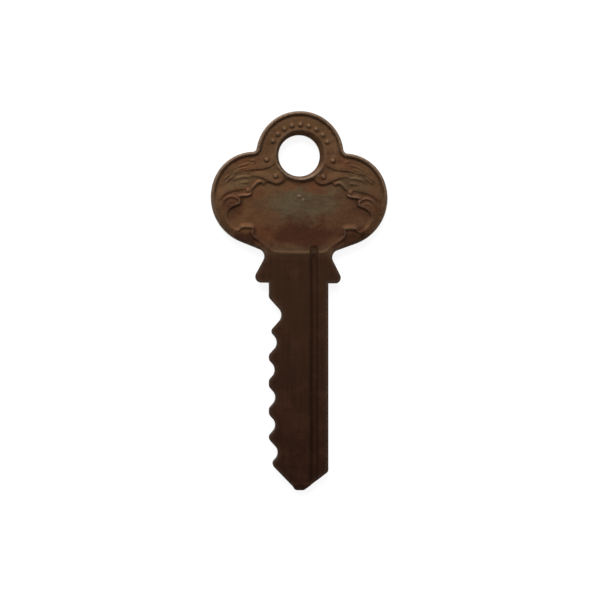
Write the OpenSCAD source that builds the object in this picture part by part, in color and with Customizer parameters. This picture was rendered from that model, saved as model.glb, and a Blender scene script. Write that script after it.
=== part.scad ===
// Flat cylinder-lock key, struck from one strip of brass.
// It lies flat: +Y runs from the blade up to the bow, +X to the spine of the blade,
// +Z out of the front face. The origin is the centre of the ring hole, half way through the strip.

/* [Strip] */
// Thickness of the strip that the key is struck from
strip_t = 2.2; // [1.8:0.05:2.8]

/* [Ring hole] */
// Radius of the hole that the key ring goes through
ring_hole_r = 3; // [2.4:0.05:3.1]
// Width of the raised bead round the hole
ring_bead_w = 0.9; // [0.8:0.05:1]
// How far the hole was pierced to the left of the bow's middle line
hole_off = 0.1; // [0:0.05:0.3]

/* [Bow outline] */
// Angle by which the bow leans on the blade
bow_lean = 0.9; // [0:0.1:2]
// Radius of the top lobe
top_r = 6.3; // [5.6:0.02:6.6]
// Height of the top lobe's centre over the ring hole
top_rise = 0.1; // [0:0.05:0.6]
// Sideways place of a side lobe's centre
lobe_x = 6.52; // [6.2:0.02:6.9]
// Distance of a side lobe's centre below the ring hole
lobe_drop = 5.74; // [5.4:0.02:6]
// Radius of a side lobe, on its upper shoulder
lobe_r = 6.16; // [5.8:0.02:6.4]
// Radius of a side lobe, on its fuller lower side
lobe_low_r = 6.97; // [6.6:0.01:7.2]
// Angle at which the upper radius runs into the lower one
lobe_turn = 22.7; // [15:0.1:30]
// Radius in the notch between the top lobe and a side lobe
notch_r = 0.66; // [0.4:0.02:1]
// Half the width of the neck at its narrowest
waist_half = 4.88; // [4.7:0.02:5.2]
// Distance of the waist below the ring hole
waist_drop = 14.6; // [14.4:0.05:14.9]
// Radius of the waist
waist_r = 1.09; // [0.9:0.01:1.2]
// Half the width over the shoulders
shoulder_half = 6.14; // [5.9:0.02:6.5]
// Radius of a shoulder's corner
shoulder_r = 0.88; // [0.7:0.02:1]
// Height of a shoulder's corner centre over the stop face
shoulder_lift = 0.9; // [0.8:0.05:1.1]

/* [Coined relief] */
// Width of the raised rim round the lobes
rim_w = 0.45; // [0.3:0.05:0.6]
// Width of the channel inside the rim
channel_w = 0.3; // [0.2:0.05:0.4]
// Depth of the channel below the face
channel_d = 0.3; // [0.2:0.02:0.4]
// How far the ornament's ground lies below the face
ground_d = 0.2; // [0.12:0.02:0.24]
// Depth of the cartouche's plate at its edge
plate_d = 0.36; // [0.3:0.02:0.4]
// Crown of the cartouche's plate over its edge
plate_crown = 0.14; // [0.06:0.02:0.16]
// Distance of the channel's lower end below the ring hole
channel_drop = 8.6; // [8:0.1:9]
// Length over which the channel and the ground run out to the face
runout_l = 3; // [2:0.1:4]
// How far the leaves and bands lie below the face
leaf_low = 0.04; // [0.02:0.01:0.1]

/* [Cartouche] */
// Distance of the cartouche's lower edge below the ring hole
plate_drop = 14; // [13.7:0.05:14.1]
// Half the straight length of the lower edge
plate_flat = 2.2; // [1.6:0.1:2.6]
// Radius from the lower edge up to the bracket tabs
plate_r = 4.6; // [4.4:0.05:4.8]
// Width of the slope that rises from the plate to its lower edge
sill_w = 0.7; // [0.4:0.05:1]
// Radius of the pocket beside a bracket tab
pocket_r = 1.55; // [1.3:0.05:1.7]
// Sideways place of the pocket's centre
pocket_x = 8.75; // [8.5:0.05:9]
// Distance of the pocket's centre below the ring hole
pocket_drop = 9.15; // [8.9:0.05:9.4]
// Sideways place of a bracket tab's inner end
tab_x = 6.4; // [6:0.1:6.8]
// Length of a bracket tab
tab_l = 2; // [1.6:0.1:2.2]
// Width of a bracket tab
tab_w = 0.55; // [0.4:0.05:0.7]
// Distance of a bracket tab's upper edge below the ring hole
tab_drop = 10.2; // [10:0.05:10.4]
// Length of the hollow that slopes out below a bracket tab
hollow_l = 1.5; // [1:0.05:1.6]
// Depth of that hollow under the tab
hollow_d = 0.16; // [0.1:0.02:0.3]

/* [Scrolls] */
// Sideways place of a volute's centre
volute_x = 9.9; // [9.7:0.05:10.1]
// Distance of a volute's centre below the ring hole
volute_drop = 7.05; // [6.9:0.05:7.3]
// Radius of a volute
volute_r = 1.25; // [1:0.05:1.4]
// Width of the spiral groove in a volute
volute_groove_w = 0.22; // [0.16:0.02:0.3]
// Sideways place of the upper scroll's eye
upper_eye_x = 4.85; // [4.7:0.05:5]
// Distance of the upper scroll's eye below the ring hole
upper_eye_drop = 0.7; // [0.5:0.05:0.9]
// Sideways place of the lower scroll's eye
lower_eye_x = 3.5; // [3.4:0.05:3.7]
// Distance of the lower scroll's eye below the ring hole
lower_eye_drop = 3.05; // [2.9:0.05:3.3]
// Radius of a scroll's round root
root_r = 1.1; // [0.9:0.05:1.2]
// Radius of the bead in a scroll's eye
eye_r = 0.45; // [0.3:0.05:0.5]
// Sideways place of the crest between the lower scroll and the curl
crest_x = 5.75; // [5.6:0.05:5.9]
// Distance of the crest's centre below the ring hole
crest_drop = 5.25; // [5.1:0.05:5.4]
// Radius of the plate's edge under the crest
crest_r = 1.1; // [0.9:0.05:1.2]
// Sideways place of the curl over the volute
curl_x = 7.8; // [7.6:0.05:8]
// Distance of the curl's centre below the ring hole
curl_drop = 4.8; // [4.6:0.05:5]
// Radius of the plate's edge under the curl
curl_r = 1.3; // [1.1:0.05:1.4]

/* [Blade] */
// Distance from the ring hole's centre to the shoulders' stop face
hole_to_stop = 18.4; // [18:0.1:19]
// Length of the blade from the stop face to the tip
blade_l = 29.8; // [29:0.1:32]
// Width of the blade from its spine to its uncut edge
blade_w = 8.53; // [8:0.01:9]
// Distance of the spine to the right of the ring hole's centre
spine_x = 4.18; // [4:0.02:4.4]
// Radius that wear has put on the blade's corners and crests
wear_r = 0.65; // [0.1:0.05:0.8]

/* [Tip] */
// Width of the blunt end
tip_w = 1.3; // [1:0.1:2]
// Distance of the blunt end's spine-side corner from the spine
tip_in = 3.5; // [3:0.1:4]
// Length of the slope on the spine side
spine_slope_l = 2.7; // [2:0.1:3.5]
// Length of the small facet beside the blunt end
nib_l = 0.6; // [0.3:0.1:0.9]
// Width of the small facet beside the blunt end
nib_w = 0.35; // [0.2:0.05:0.6]
// Angle of the slope on the cut side, from the blade's length
cut_slope = 46; // [40:1:50]
// Length of the bevel on both faces at the tip
tip_bevel_l = 0.7; // [0.3:0.1:1]
// Depth of that bevel
tip_bevel_d = 0.3; // [0.1:0.05:0.5]

/* [Key cuts] */
// Distance from the stop face to the middle of the first cut
first_cut = 4.57; // [4.4:0.01:4.8]
// Distance between the middles of neighbouring cuts
cut_pitch = 3.966; // [3.9:0.001:4]
// Depths of the cuts from the uncut edge, bow to tip
cut_depths = [1.8, 1.14, 0.83, 0.92, 0.9, 1.27]; // [0.4:0.01:2.2]
// Angle between a cut's two flanks
cut_angle = 96; // [86:1:104]
// Radius at the bottom of a cut
cut_r = 1.34; // [0.6:0.02:1.5]

/* [Keyway grooves] */
// Distance from the spine to the front groove
front_groove_in = 1.4; // [1.2:0.05:1.6]
// Width of the front groove at the face
front_groove_w = 1.32; // [1:0.02:1.5]
// Depth of the front groove
front_groove_d = 0.75; // [0.5:0.05:0.9]
// Distance from the spine to the back groove
back_groove_in = 3.6; // [3.4:0.05:3.8]
// Width of the back groove at the face
back_groove_w = 1.5; // [1:0.02:1.8]
// Depth of the back groove
back_groove_d = 0.8; // [0.5:0.05:0.9]
// Lean of a groove's walls from square
groove_draft = 12; // [0:1:20]
// Distance of the grooves' upper end below the ring hole
groove_drop = 12.94; // [12.7:0.02:13.3]

/* [Bead row] */
// Number of beads in the arc over the ring hole
row_count = 9; // [5:2:13]
// Angle between the first and the last bead
row_span = 126; // [90:1:140]
// Radius of one bead
row_bead_r = 0.3; // [0.2:0.02:0.34]
// Distance of the bead row from the ring hole's centre
row_r = 4.4; // [4.3:0.05:4.6]

/* [Hidden] */
$fn = 96;
// Reach of a cutting tool past the metal
over = 1;
// How far the notch's round reaches into the lobes, so that the arcs cross cleanly
bite = 0.002;
// Half the strip's thickness: the height of both faces over the middle
face = strip_t / 2;
// Centres of the bow's arcs, from the ring hole, before the bow leans
top_c = [0, top_rise];
lobe_c = [lobe_x, -lobe_drop];
lobe_low_c = lobe_c - (lobe_low_r - lobe_r) * [cos(lobe_turn), sin(lobe_turn)];
waist_c = [waist_half + waist_r, -waist_drop];
shoulder_c = [shoulder_half - shoulder_r, shoulder_lift - hole_to_stop];
notch_c = meeting(top_c, top_r + notch_r, lobe_c, lobe_r + notch_r);
volute_c = [volute_x, -volute_drop];
upper_eye_c = [upper_eye_x, -upper_eye_drop];
lower_eye_c = [lower_eye_x, -lower_eye_drop];
crest_c = [crest_x, -crest_drop];
curl_c = [curl_x, -curl_drop];
// Centre of the arc from the plate's lower edge up to a bracket tab
plate_c = [plate_flat, plate_r - plate_drop];
// Radius of the ring bead's round section and of its middle line
bead_tube_r = ring_bead_w / 2;
bead_mid_r = ring_hole_r + bead_tube_r;
// Leaves and bands on one side of the bow: start, end, how far the middle line swings out to the
// left of the way from start to end, and width. They come to a point at both ends.
LEAVES = [
    // Band of the upper scroll
    [[3.7, -1.3], [8.8, -2.6], -0.28, 0.4],
    // Leaf over the upper scroll and its lower tip
    [[6.3, -1.4], [10, -2.6], 0.36, 0.42],
    [[7.6, -2.4], [10.5, -3.3], 0.32, 0.38],
    // Band of the lower scroll
    [[3.6, -4.1], [7.3, -3], 0.24, 0.42],
    // Middle leaf and the leaf below it
    [[6.7, -3.1], [10.7, -4.3], 0.42, 0.44],
    [[6.7, -4.1], [10.9, -5.2], 0.36, 0.42],
    // Crest, and its flank down to the curl
    [[5, -4.5], [6.6, -4.9], 0.72, 0.4],
    [[6.2, -4.1], [7.1, -5.6], 0.22, 0.34],
    // Curl
    [[6.9, -5.2], [9.1, -5.8], -0.42, 0.4],
    // Band that runs from the curl over the volute
    [[7.5, -4.9], [11.5, -7.2], 0.96, 0.4]
];

// The point right of the line from a to b that lies ra from a and rb from b
function meeting(a, ra, b, rb) =
    let (d = norm(b - a), u = (b - a) / d, along = (ra * ra - rb * rb + d * d) / (2 * d))
    a + along * u + sqrt(ra * ra - along * along) * [-u.y, u.x];

// The direction square to the line that touches circle a from inside and circle b from outside
function touch_dir(a, ra, b, rb, side) =
    let (d = b - a, turn = atan2(d.y, d.x) + side * acos((ra + rb) / norm(d)))
    [cos(turn), sin(turn)];

// Both halves of something drawn for the right side
module both_sides() {
    children();
    mirror([1, 0, 0]) children();
}

// Both faces of something drawn for the front
module both_faces() {
    children();
    mirror([0, 0, 1]) children();
}

// Everything on the bow leans with it and sits off the hole's middle by the same amount
module on_bow() {
    rotate(-bow_lean) translate([hole_off, 0, 0]) children();
}

// One half of the bow's outline, drawn in by a given amount
module half_outline(inset) {
    flank = touch_dir(lobe_low_c, lobe_low_r - inset, waist_c, waist_r + inset, 1);
    brow = touch_dir(shoulder_c, shoulder_r - inset, waist_c, waist_r + inset, -1);
    translate(top_c) circle(top_r - inset);
    translate(lobe_c) circle(lobe_r - inset);
    intersection() {
        translate(lobe_low_c) circle(lobe_low_r - inset);
        translate(lobe_low_c) rotate(lobe_turn) translate([-2 * lobe_low_r, -2 * lobe_low_r])
            square([4 * lobe_low_r, 2 * lobe_low_r]);
    }
    difference() {
        polygon([top_c, notch_c, lobe_c]);
        translate(notch_c) circle(notch_r + inset + bite);
    }
    difference() {
        polygon([
            top_c,
            lobe_low_c,
            lobe_low_c + (lobe_low_r - inset) * flank,
            waist_c - (waist_r + inset) * flank,
            waist_c,
            waist_c - (waist_r + inset) * brow,
            shoulder_c + (shoulder_r - inset) * brow,
            shoulder_c,
            shoulder_c - [0, shoulder_r - inset],
            [0, shoulder_c.y - shoulder_r + inset]
        ]);
        translate(waist_c) circle(waist_r + inset);
    }
    translate(shoulder_c) circle(shoulder_r - inset);
}

// The bow's outline, with its neck and shoulders
module bow_outline(inset = 0) {
    both_sides() half_outline(inset);
}

// Right half of the cartouche's upper part: scroll, crest, curl and volute above, pocket beside
module half_plate_top() {
    difference() {
        union() {
            translate([pocket_x, -pocket_drop]) circle(pocket_r);
            translate(crest_c) circle(crest_r);
            polygon([
                [0, -ring_hole_r],
                lower_eye_c,
                crest_c,
                curl_c,
                volute_c,
                [pocket_x + pocket_r, -pocket_drop],
                [pocket_x, -tab_drop],
                [0, -tab_drop]
            ]);
        }
        translate(curl_c) circle(curl_r);
        translate(volute_c) circle(volute_r);
        translate(lower_eye_c) circle(root_r);
    }
}

// The cartouche's lower part: a shallow dish whose wall slopes up to a flat edge with round ends
module plate_dish() {
    spread = over * sill_w / plate_d;
    both_sides() translate([plate_c.x, plate_c.y, 0])
        cylinder(r1 = plate_r - sill_w, r2 = plate_r + spread, h = plate_d + over, $fn = 2 * $fn);
    rotate([90, 0, 90]) translate([0, 0, -plate_flat]) linear_extrude(2 * plate_flat) polygon([
        [plate_c.y, 0],
        [plate_c.y, plate_d + over],
        [-plate_drop - spread, plate_d + over],
        [sill_w - plate_drop, 0]
    ]);
}

// The cartouche's plate: sunk below the face, and crowned like a pillow
module plate_cut() {
    top_y = -ring_hole_r - ring_bead_w;
    span = plate_drop + top_y;
    crown_r = span * span / (8 * plate_crown) + plate_crown / 2;
    translate([0, 0, face - plate_d]) difference() {
        union() {
            linear_extrude(plate_d + over) both_sides() half_plate_top();
            plate_dish();
        }
        both_sides() translate([tab_x, -tab_drop - tab_w, -over]) cube([tab_l, tab_w, 3 * over]);
        translate([0, (top_y - plate_drop) / 2, plate_crown - crown_r]) rotate([0, 90, 0])
            cylinder(r = crown_r, h = 4 * lobe_x, center = true, $fn = 4 * $fn);
    }
}

// Hollow under a bracket tab, deepest at the tab and sloping out to the face
module hollow_cut() {
    top_y = -tab_drop - tab_w;
    translate([tab_x, 0, face]) rotate([90, 0, 90]) linear_extrude(tab_l) polygon([
        [top_y, -hollow_d],
        [top_y, over],
        [top_y - hollow_l * (1 + over / hollow_d), over]
    ]);
}

// The part of the bow that carries the ornament
module ornament_zone() {
    translate([-3 * lobe_x, -channel_drop]) square([6 * lobe_x, channel_drop + 2 * top_r]);
}

// Slope on which the channel and the ground run out to the face at their lower end
module runout() {
    slope = channel_d / runout_l;
    translate([-3 * lobe_x, 0, face]) rotate([90, 0, 90]) linear_extrude(6 * lobe_x) polygon([
        [-channel_drop - over, over * slope],
        [-channel_drop - over, -over - channel_d],
        [runout_l - channel_drop + over / slope, -over - channel_d]
    ]);
}

// Channel just inside the rim, and the ground of the ornament inside the channel
module ground_cut() {
    difference() {
        union() {
            translate([0, 0, face - channel_d]) linear_extrude(channel_d + over) intersection() {
                difference() {
                    bow_outline(rim_w);
                    bow_outline(rim_w + channel_w);
                }
                ornament_zone();
            }
            translate([0, 0, face - ground_d]) linear_extrude(ground_d + over) intersection() {
                bow_outline(rim_w + channel_w / 2);
                ornament_zone();
            }
        }
        runout();
    }
}

// The flat strip of the bow with one sunk face
module bow() {
    difference() {
        linear_extrude(strip_t, center = true) bow_outline();
        both_faces() ground_cut();
        both_faces() plate_cut();
        both_faces() both_sides() hollow_cut();
    }
}

// Outline of the blade before its cuts: spine, tip and uncut edge
module blade_blank() {
    edge_x = spine_x - blade_w;
    end_y = -hole_to_stop - blade_l;
    nib_x = spine_x - tip_in - tip_w - nib_w;
    polygon([
        [spine_x, -waist_drop],
        [spine_x, end_y + spine_slope_l],
        [spine_x - tip_in, end_y],
        [spine_x - tip_in - tip_w, end_y],
        [nib_x, end_y + nib_l],
        [edge_x, end_y + nib_l + (nib_x - edge_x) * tan(cut_slope)],
        [edge_x, -waist_drop]
    ]);
}

// One key cut, its middle at the origin and its bottom at the given depth
module key_cut(depth) {
    half = cut_angle / 2;
    mouth = over + depth;
    foot = cut_r * (1 / sin(half) - 1);
    translate([depth - cut_r, 0]) circle(cut_r);
    polygon([
        [depth - cut_r + cut_r * sin(half), cut_r * cos(half)],
        [-over, (mouth + foot) * tan(half)],
        [-over, -(mouth + foot) * tan(half)],
        [depth - cut_r + cut_r * sin(half), -cut_r * cos(half)]
    ]);
}

// Outline of the blade with its cuts, worn round at every corner
module blade_outline() {
    offset(wear_r) offset(-wear_r) difference() {
        blade_blank();
        for (i = [0 : len(cut_depths) - 1])
            translate([spine_x - blade_w, -hole_to_stop - first_cut - i * cut_pitch])
                key_cut(cut_depths[i]);
    }
}

// A groove milled along the front face: its wall on the spine side at the given place
module groove_cut(inward, width, depth) {
    draft = depth * tan(groove_draft);
    lift = over * tan(groove_draft);
    translate([spine_x - inward, -groove_drop, face]) rotate([90, 0, 0])
        linear_extrude(hole_to_stop + blade_l - groove_drop + over) polygon([
            [lift, over],
            [-draft, -depth],
            [draft - width, -depth],
            [-width - lift, over]
        ]);
}

// Bevels that thin the blade's tip from both faces
module tip_bevel_cut() {
    translate([spine_x + over, -hole_to_stop - blade_l, face]) rotate([90, 0, -90])
        linear_extrude(blade_w + 2 * over) polygon([
            [-over, -tip_bevel_d * (1 + over / tip_bevel_l)],
            [tip_bevel_l, 0],
            [tip_bevel_l, over],
            [-over, over]
        ]);
}

// The blade with its cuts, grooves and tip
module blade() {
    linear_extrude(strip_t, center = true) blade_outline();
}

// Raised bead round the ring hole
module ring_bead() {
    translate([0, 0, face - bead_tube_r]) rotate_extrude() translate([bead_mid_r, 0])
        circle(bead_tube_r, $fn = 32);
}

// Disc whose edge runs through two points, and swings out by a given amount between them, to the
// left of the way from the first to the second or, with a negative amount, to the right
module arc_disc(a, b, swing) {
    chord = norm(b - a);
    out = sign(swing) * [a.y - b.y, b.x - a.x] / chord;
    rise = abs(swing);
    r = (chord * chord / 4 + rise * rise) / (2 * rise);
    translate((a + b) / 2 + (rise - r) * out) circle(r);
}

// A leaf or band: the crescent between two arcs that share their ends
module leaf(a, b, swing, width) {
    difference() {
        arc_disc(a, b, swing + sign(swing) * width / 2);
        arc_disc(a, b, swing - sign(swing) * width / 2);
    }
}

// All the leaves and bands of the scrollwork
module leaves() {
    linear_extrude(face - leaf_low) both_sides() for (l = LEAVES) leaf(l[0], l[1], l[2], l[3]);
}

// A round root of a scroll, with the bead in its eye
module scroll_root(c) {
    translate([c.x, c.y, 0]) cylinder(r = root_r, h = face - ground_d / 2);
    translate([c.x, c.y, face - eye_r]) sphere(eye_r, $fn = 32);
}

// A volute: a round boss with a spiral groove of three half turns
module volute() {
    difference() {
        translate([volute_c.x, volute_c.y, 0]) cylinder(r = volute_r, h = face);
        translate([volute_c.x, volute_c.y, face]) for (k = [0 : 2])
            translate([k * volute_r / 12 * (k % 2 == 0 ? 1 : -1), 0, 0]) rotate(180 * (k % 2))
                rotate_extrude(angle = 180) translate([volute_r * (3 - k) / 4, 0])
                    circle(volute_groove_w / 2, $fn = 24);
    }
}

// Row of beads in an arc over the ring hole
module bead_row() {
    for (i = [0 : row_count - 1])
        rotate(90 + row_span * (i / (row_count - 1) - 0.5))
            translate([row_r, 0, face - row_bead_r]) sphere(row_bead_r, $fn = 24);
}

module key() {
    color("#5a4128") difference() {
        union() {
            intersection() {
                on_bow() bow();
                translate([-3 * lobe_x, -hole_to_stop, -strip_t])
                    cube([6 * lobe_x, hole_to_stop + 2 * top_r, 2 * strip_t]);
            }
            blade();
            both_faces() ring_bead();
            on_bow() both_faces() leaves();
            on_bow() both_faces() both_sides() volute();
            on_bow() both_faces() both_sides() scroll_root(upper_eye_c);
            on_bow() both_faces() both_sides() scroll_root(lower_eye_c);
            both_faces() bead_row();
        }
        cylinder(r = ring_hole_r, h = strip_t + 2 * over, center = true);
        groove_cut(front_groove_in, front_groove_w, front_groove_d);
        mirror([0, 0, 1]) groove_cut(back_groove_in, back_groove_w, back_groove_d);
        both_faces() tip_bevel_cut();
    }
}

key();
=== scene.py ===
"""The looks of a flat cylinder-lock key with a coined trefoil bow.

The key lies on its back: +Y runs up to the bow, +X to the spine of the blade and +Z out of the
front face, and the origin is the centre of the ring hole, half way through the strip. Sizes in
the classes are millimetres and angles degrees. The mesh is written in metres.
"""

import logging
import math
from collections.abc import Iterator
from dataclasses import dataclass, field
from enum import Enum

import bpy
import numpy as np
from mathutils import Matrix, Vector
from mathutils.geometry import delaunay_2d_cdt


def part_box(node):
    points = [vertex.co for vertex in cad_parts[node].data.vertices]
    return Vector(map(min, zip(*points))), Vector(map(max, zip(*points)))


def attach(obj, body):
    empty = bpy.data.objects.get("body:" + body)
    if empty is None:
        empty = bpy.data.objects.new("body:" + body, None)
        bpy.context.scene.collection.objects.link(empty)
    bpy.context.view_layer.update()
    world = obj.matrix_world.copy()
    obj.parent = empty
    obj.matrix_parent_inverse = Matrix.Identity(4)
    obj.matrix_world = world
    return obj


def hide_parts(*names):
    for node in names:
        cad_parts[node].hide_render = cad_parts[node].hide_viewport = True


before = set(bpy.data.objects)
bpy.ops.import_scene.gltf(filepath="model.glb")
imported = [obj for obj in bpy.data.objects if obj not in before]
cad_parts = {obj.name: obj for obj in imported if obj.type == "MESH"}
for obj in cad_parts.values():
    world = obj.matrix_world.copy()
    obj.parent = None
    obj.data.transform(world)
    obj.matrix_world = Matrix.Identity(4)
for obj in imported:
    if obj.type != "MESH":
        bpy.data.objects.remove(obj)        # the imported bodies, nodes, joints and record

LOG = logging.getLogger("key")
MM = 0.001
NODE = "key"
BODY = "root"
TAU = 2.0 * math.pi
TINY = 1e-9             # keeps a division clear of nought
BATCH = 512             # points that are set against a path at once
PATH_STEP = 0.1         # spacing of the points on a stroke's middle line
ARC_SHARE = 0.2         # widest spacing round a circle, as a share of its radius

Span = tuple[float, float]      # a range's two ends: a ramp is 0 at the first and 1 at the second


class Face(Enum):
    """The two faces of the strip. The value is the sign of the face's height."""

    FRONT = 1.0
    BACK = -1.0


class Taper(Enum):
    """Which ends of a ridge thin out to nothing."""

    NONE = "none"
    END = "end"
    BOTH = "both"


def ramp(value: np.ndarray, low: float, high: float) -> np.ndarray:
    """Rises smoothly from 0 at low to 1 at high.

    The formula is 3 t squared minus 2 t cubed, where t is the value's share of the way from low to
    high, held between 0 and 1. It falls instead where low is the larger of the two.

    Args:
        value: What to look up, any shape.
        low: The value that gives 0.
        high: The value that gives 1.

    Returns:
        Numbers from 0 to 1 in the shape of value.
    """
    share = np.clip((value - low) / (high - low), 0.0, 1.0)
    return share * share * (3.0 - 2.0 * share)


def spaced(start: np.ndarray, end: np.ndarray, step: float) -> np.ndarray:
    """Points along a straight line, a step or less apart, without the last one.

    Args:
        start: First end, two numbers.
        end: Other end, two numbers.
        step: Widest spacing.

    Returns:
        An array of points, one row each.
    """
    count = max(1, math.ceil(float(np.linalg.norm(end - start)) / step))
    share = np.arange(count)[:, None] / count
    return start + (end - start) * share


def smooth_path(knots: np.ndarray, step: float) -> np.ndarray:
    """A smooth curve through given points, with its own points evenly spaced.

    Between two knots the point is a cubic of the share t, with the slope at a knot taken as half
    the chord between its neighbours, which is the Catmull-Rom rule. The fine curve that this gives
    is then divided into equal lengths.

    Args:
        knots: The points to pass through, one row each.
        step: About how far apart the curve's points lie.

    Returns:
        The curve's points, with both ends.
    """
    before = np.vstack([2.0 * knots[0] - knots[1], knots[:-1]])
    after = np.vstack([knots[1:], 2.0 * knots[-1] - knots[-2]])
    slope = (after - before) / 2.0
    fine = 24
    share = np.linspace(0.0, 1.0, fine, endpoint=False)[None, :, None]
    start, end = knots[:-1, None, :], knots[1:, None, :]
    slope_a, slope_b = slope[:-1, None, :], slope[1:, None, :]
    bend = 2.0 * share**3 - 3.0 * share**2
    curve = start * (bend + 1.0) - end * bend
    curve = curve + slope_a * (share**3 - 2.0 * share**2 + share) + slope_b * (share**3 - share**2)
    curve = np.vstack([curve.reshape(-1, 2), knots[-1:]])
    mark = np.concatenate([[0.0], np.cumsum(np.linalg.norm(np.diff(curve, axis=0), axis=1))])
    even = np.linspace(0.0, mark[-1], max(2, math.ceil(mark[-1] / step) + 1))
    return np.stack([np.interp(even, mark, line) for line in curve.T], axis=1)


def nearest(points: np.ndarray, path: np.ndarray) -> tuple[np.ndarray, np.ndarray]:
    """How far points lie from a path, and how far along it the nearest place is.

    For each stretch of the path the foot of the perpendicular is held within the stretch, and the
    nearest of all the feet counts.

    Args:
        points: The points, one row each.
        path: The path's points in order, one row each.

    Returns:
        The distances, and the share of the path's length from 0 to 1.
    """
    points, path = points.astype(np.float32), path.astype(np.float32)
    start_x, start_y = path[:-1].T
    run_x, run_y = np.diff(path, axis=0).T
    length = np.maximum(np.hypot(run_x, run_y), TINY)
    mark = np.concatenate([[0.0], np.cumsum(length)])
    far, along = np.empty(len(points)), np.empty(len(points))
    for first in range(0, len(points), BATCH):
        part = points[first:first + BATCH]
        gap_x, gap_y = part[:, 0:1] - start_x, part[:, 1:2] - start_y
        share = np.clip((gap_x * run_x + gap_y * run_y) / (length * length), 0.0, 1.0)
        gap_x -= share * run_x
        gap_y -= share * run_y
        square = gap_x * gap_x + gap_y * gap_y
        pick = square.argmin(axis=1)
        rows = np.arange(len(part))
        far[first:first + BATCH] = np.sqrt(square[rows, pick])
        along[first:first + BATCH] = (mark[pick] + share[rows, pick] * length[pick]) / mark[-1]
    return far, along


def inside(points: np.ndarray, loop: np.ndarray) -> np.ndarray:
    """Says which points lie inside a closed loop.

    A point is inside when a line drawn from it along +X crosses the loop an odd number of times.

    Args:
        points: The points, one row each.
        loop: The loop's corners in order, one row each, with no corner repeated.

    Returns:
        One True or False for each point.
    """
    a, b = loop, np.roll(loop, -1, axis=0)
    rise = np.where(np.abs(b[:, 1] - a[:, 1]) < TINY, TINY, b[:, 1] - a[:, 1])
    slant = (b[:, 0] - a[:, 0]) / rise
    base = a[:, 0] - a[:, 1] * slant
    odd = np.empty(len(points), bool)
    for first in range(0, len(points), BATCH):
        x, y = points[first:first + BATCH, 0:1], points[first:first + BATCH, 1:2]
        spans = (a[:, 1] > y) != (b[:, 1] > y)
        odd[first:first + BATCH] = (spans & (x < base + y * slant)).sum(axis=1) % 2 == 1
    return odd


def signed_gap(points: np.ndarray, loop: np.ndarray) -> np.ndarray:
    """Distance of points from a closed loop, positive inside it and negative outside."""
    far, _ = nearest(points, np.vstack([loop, loop[:1]]))
    return np.where(inside(points, loop), far, -far)


def clear_of(points: np.ndarray, others: np.ndarray, gap: float) -> np.ndarray:
    """Picks the points that lie at least a gap from every one of some others.

    The plane is cut into cells a fifth of the gap wide. Each other point blots out the cells within
    the gap, and a point is kept when its own cell is still clear.

    Args:
        points: The points to choose from.
        others: The points to keep clear of.
        gap: The least distance.

    Returns:
        The chosen points.
    """
    reach = 5
    cell = gap / reach
    low = np.minimum(points.min(axis=0), others.min(axis=0)) - 2.0 * gap
    high = np.maximum(points.max(axis=0), others.max(axis=0)) + 2.0 * gap
    shape = np.ceil((high - low) / cell).astype(int) + 1
    blot = np.zeros(shape, bool)
    place = ((others - low) / cell).astype(int)
    for i in range(-reach, reach + 1):
        for j in range(-reach, reach + 1):
            if i * i + j * j <= reach * reach:
                blot[place[:, 0] + i, place[:, 1] + j] = True
    own = ((points - low) / cell).astype(int)
    return points[~blot[own[:, 0], own[:, 1]]]


def facing(points: np.ndarray, way: tuple[float, float]) -> np.ndarray:
    """Cosine of the angle between a unit direction and the one from the ring hole to each point."""
    far = np.maximum(np.linalg.norm(points, axis=1), TINY)
    return (points[:, 0] * way[0] + points[:, 1] * way[1]) / far


def hex_grid(low: np.ndarray, high: np.ndarray, step: float) -> np.ndarray:
    """Points of a triangular grid over a box.

    The rows lie half the root of three times the step apart, and every second row is moved along
    by half a step.

    Args:
        low: The box's lowest corner.
        high: The box's highest corner.
        step: Side of the triangles.

    Returns:
        The points, one row each.
    """
    row = step * math.sqrt(3.0) / 2.0
    y = np.arange(low[1], high[1], row)
    x = np.arange(low[0], high[0], step)
    shift = (np.arange(len(y)) % 2)[:, None] * step / 2.0
    grid_x = x[None, :] + shift
    grid_y = np.repeat(y[:, None], len(x), axis=1)
    return np.stack([grid_x.ravel(), grid_y.ravel()], axis=1)


@dataclass(frozen=True)
class Turn:
    """A circle that the outline runs round.

    The outline goes anticlockwise. Where it swells round a circle the radius is positive, where it
    hollows round one it is negative, and a sharp corner has none.
    """

    x: float
    y: float
    radius: float = 0.0


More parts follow.
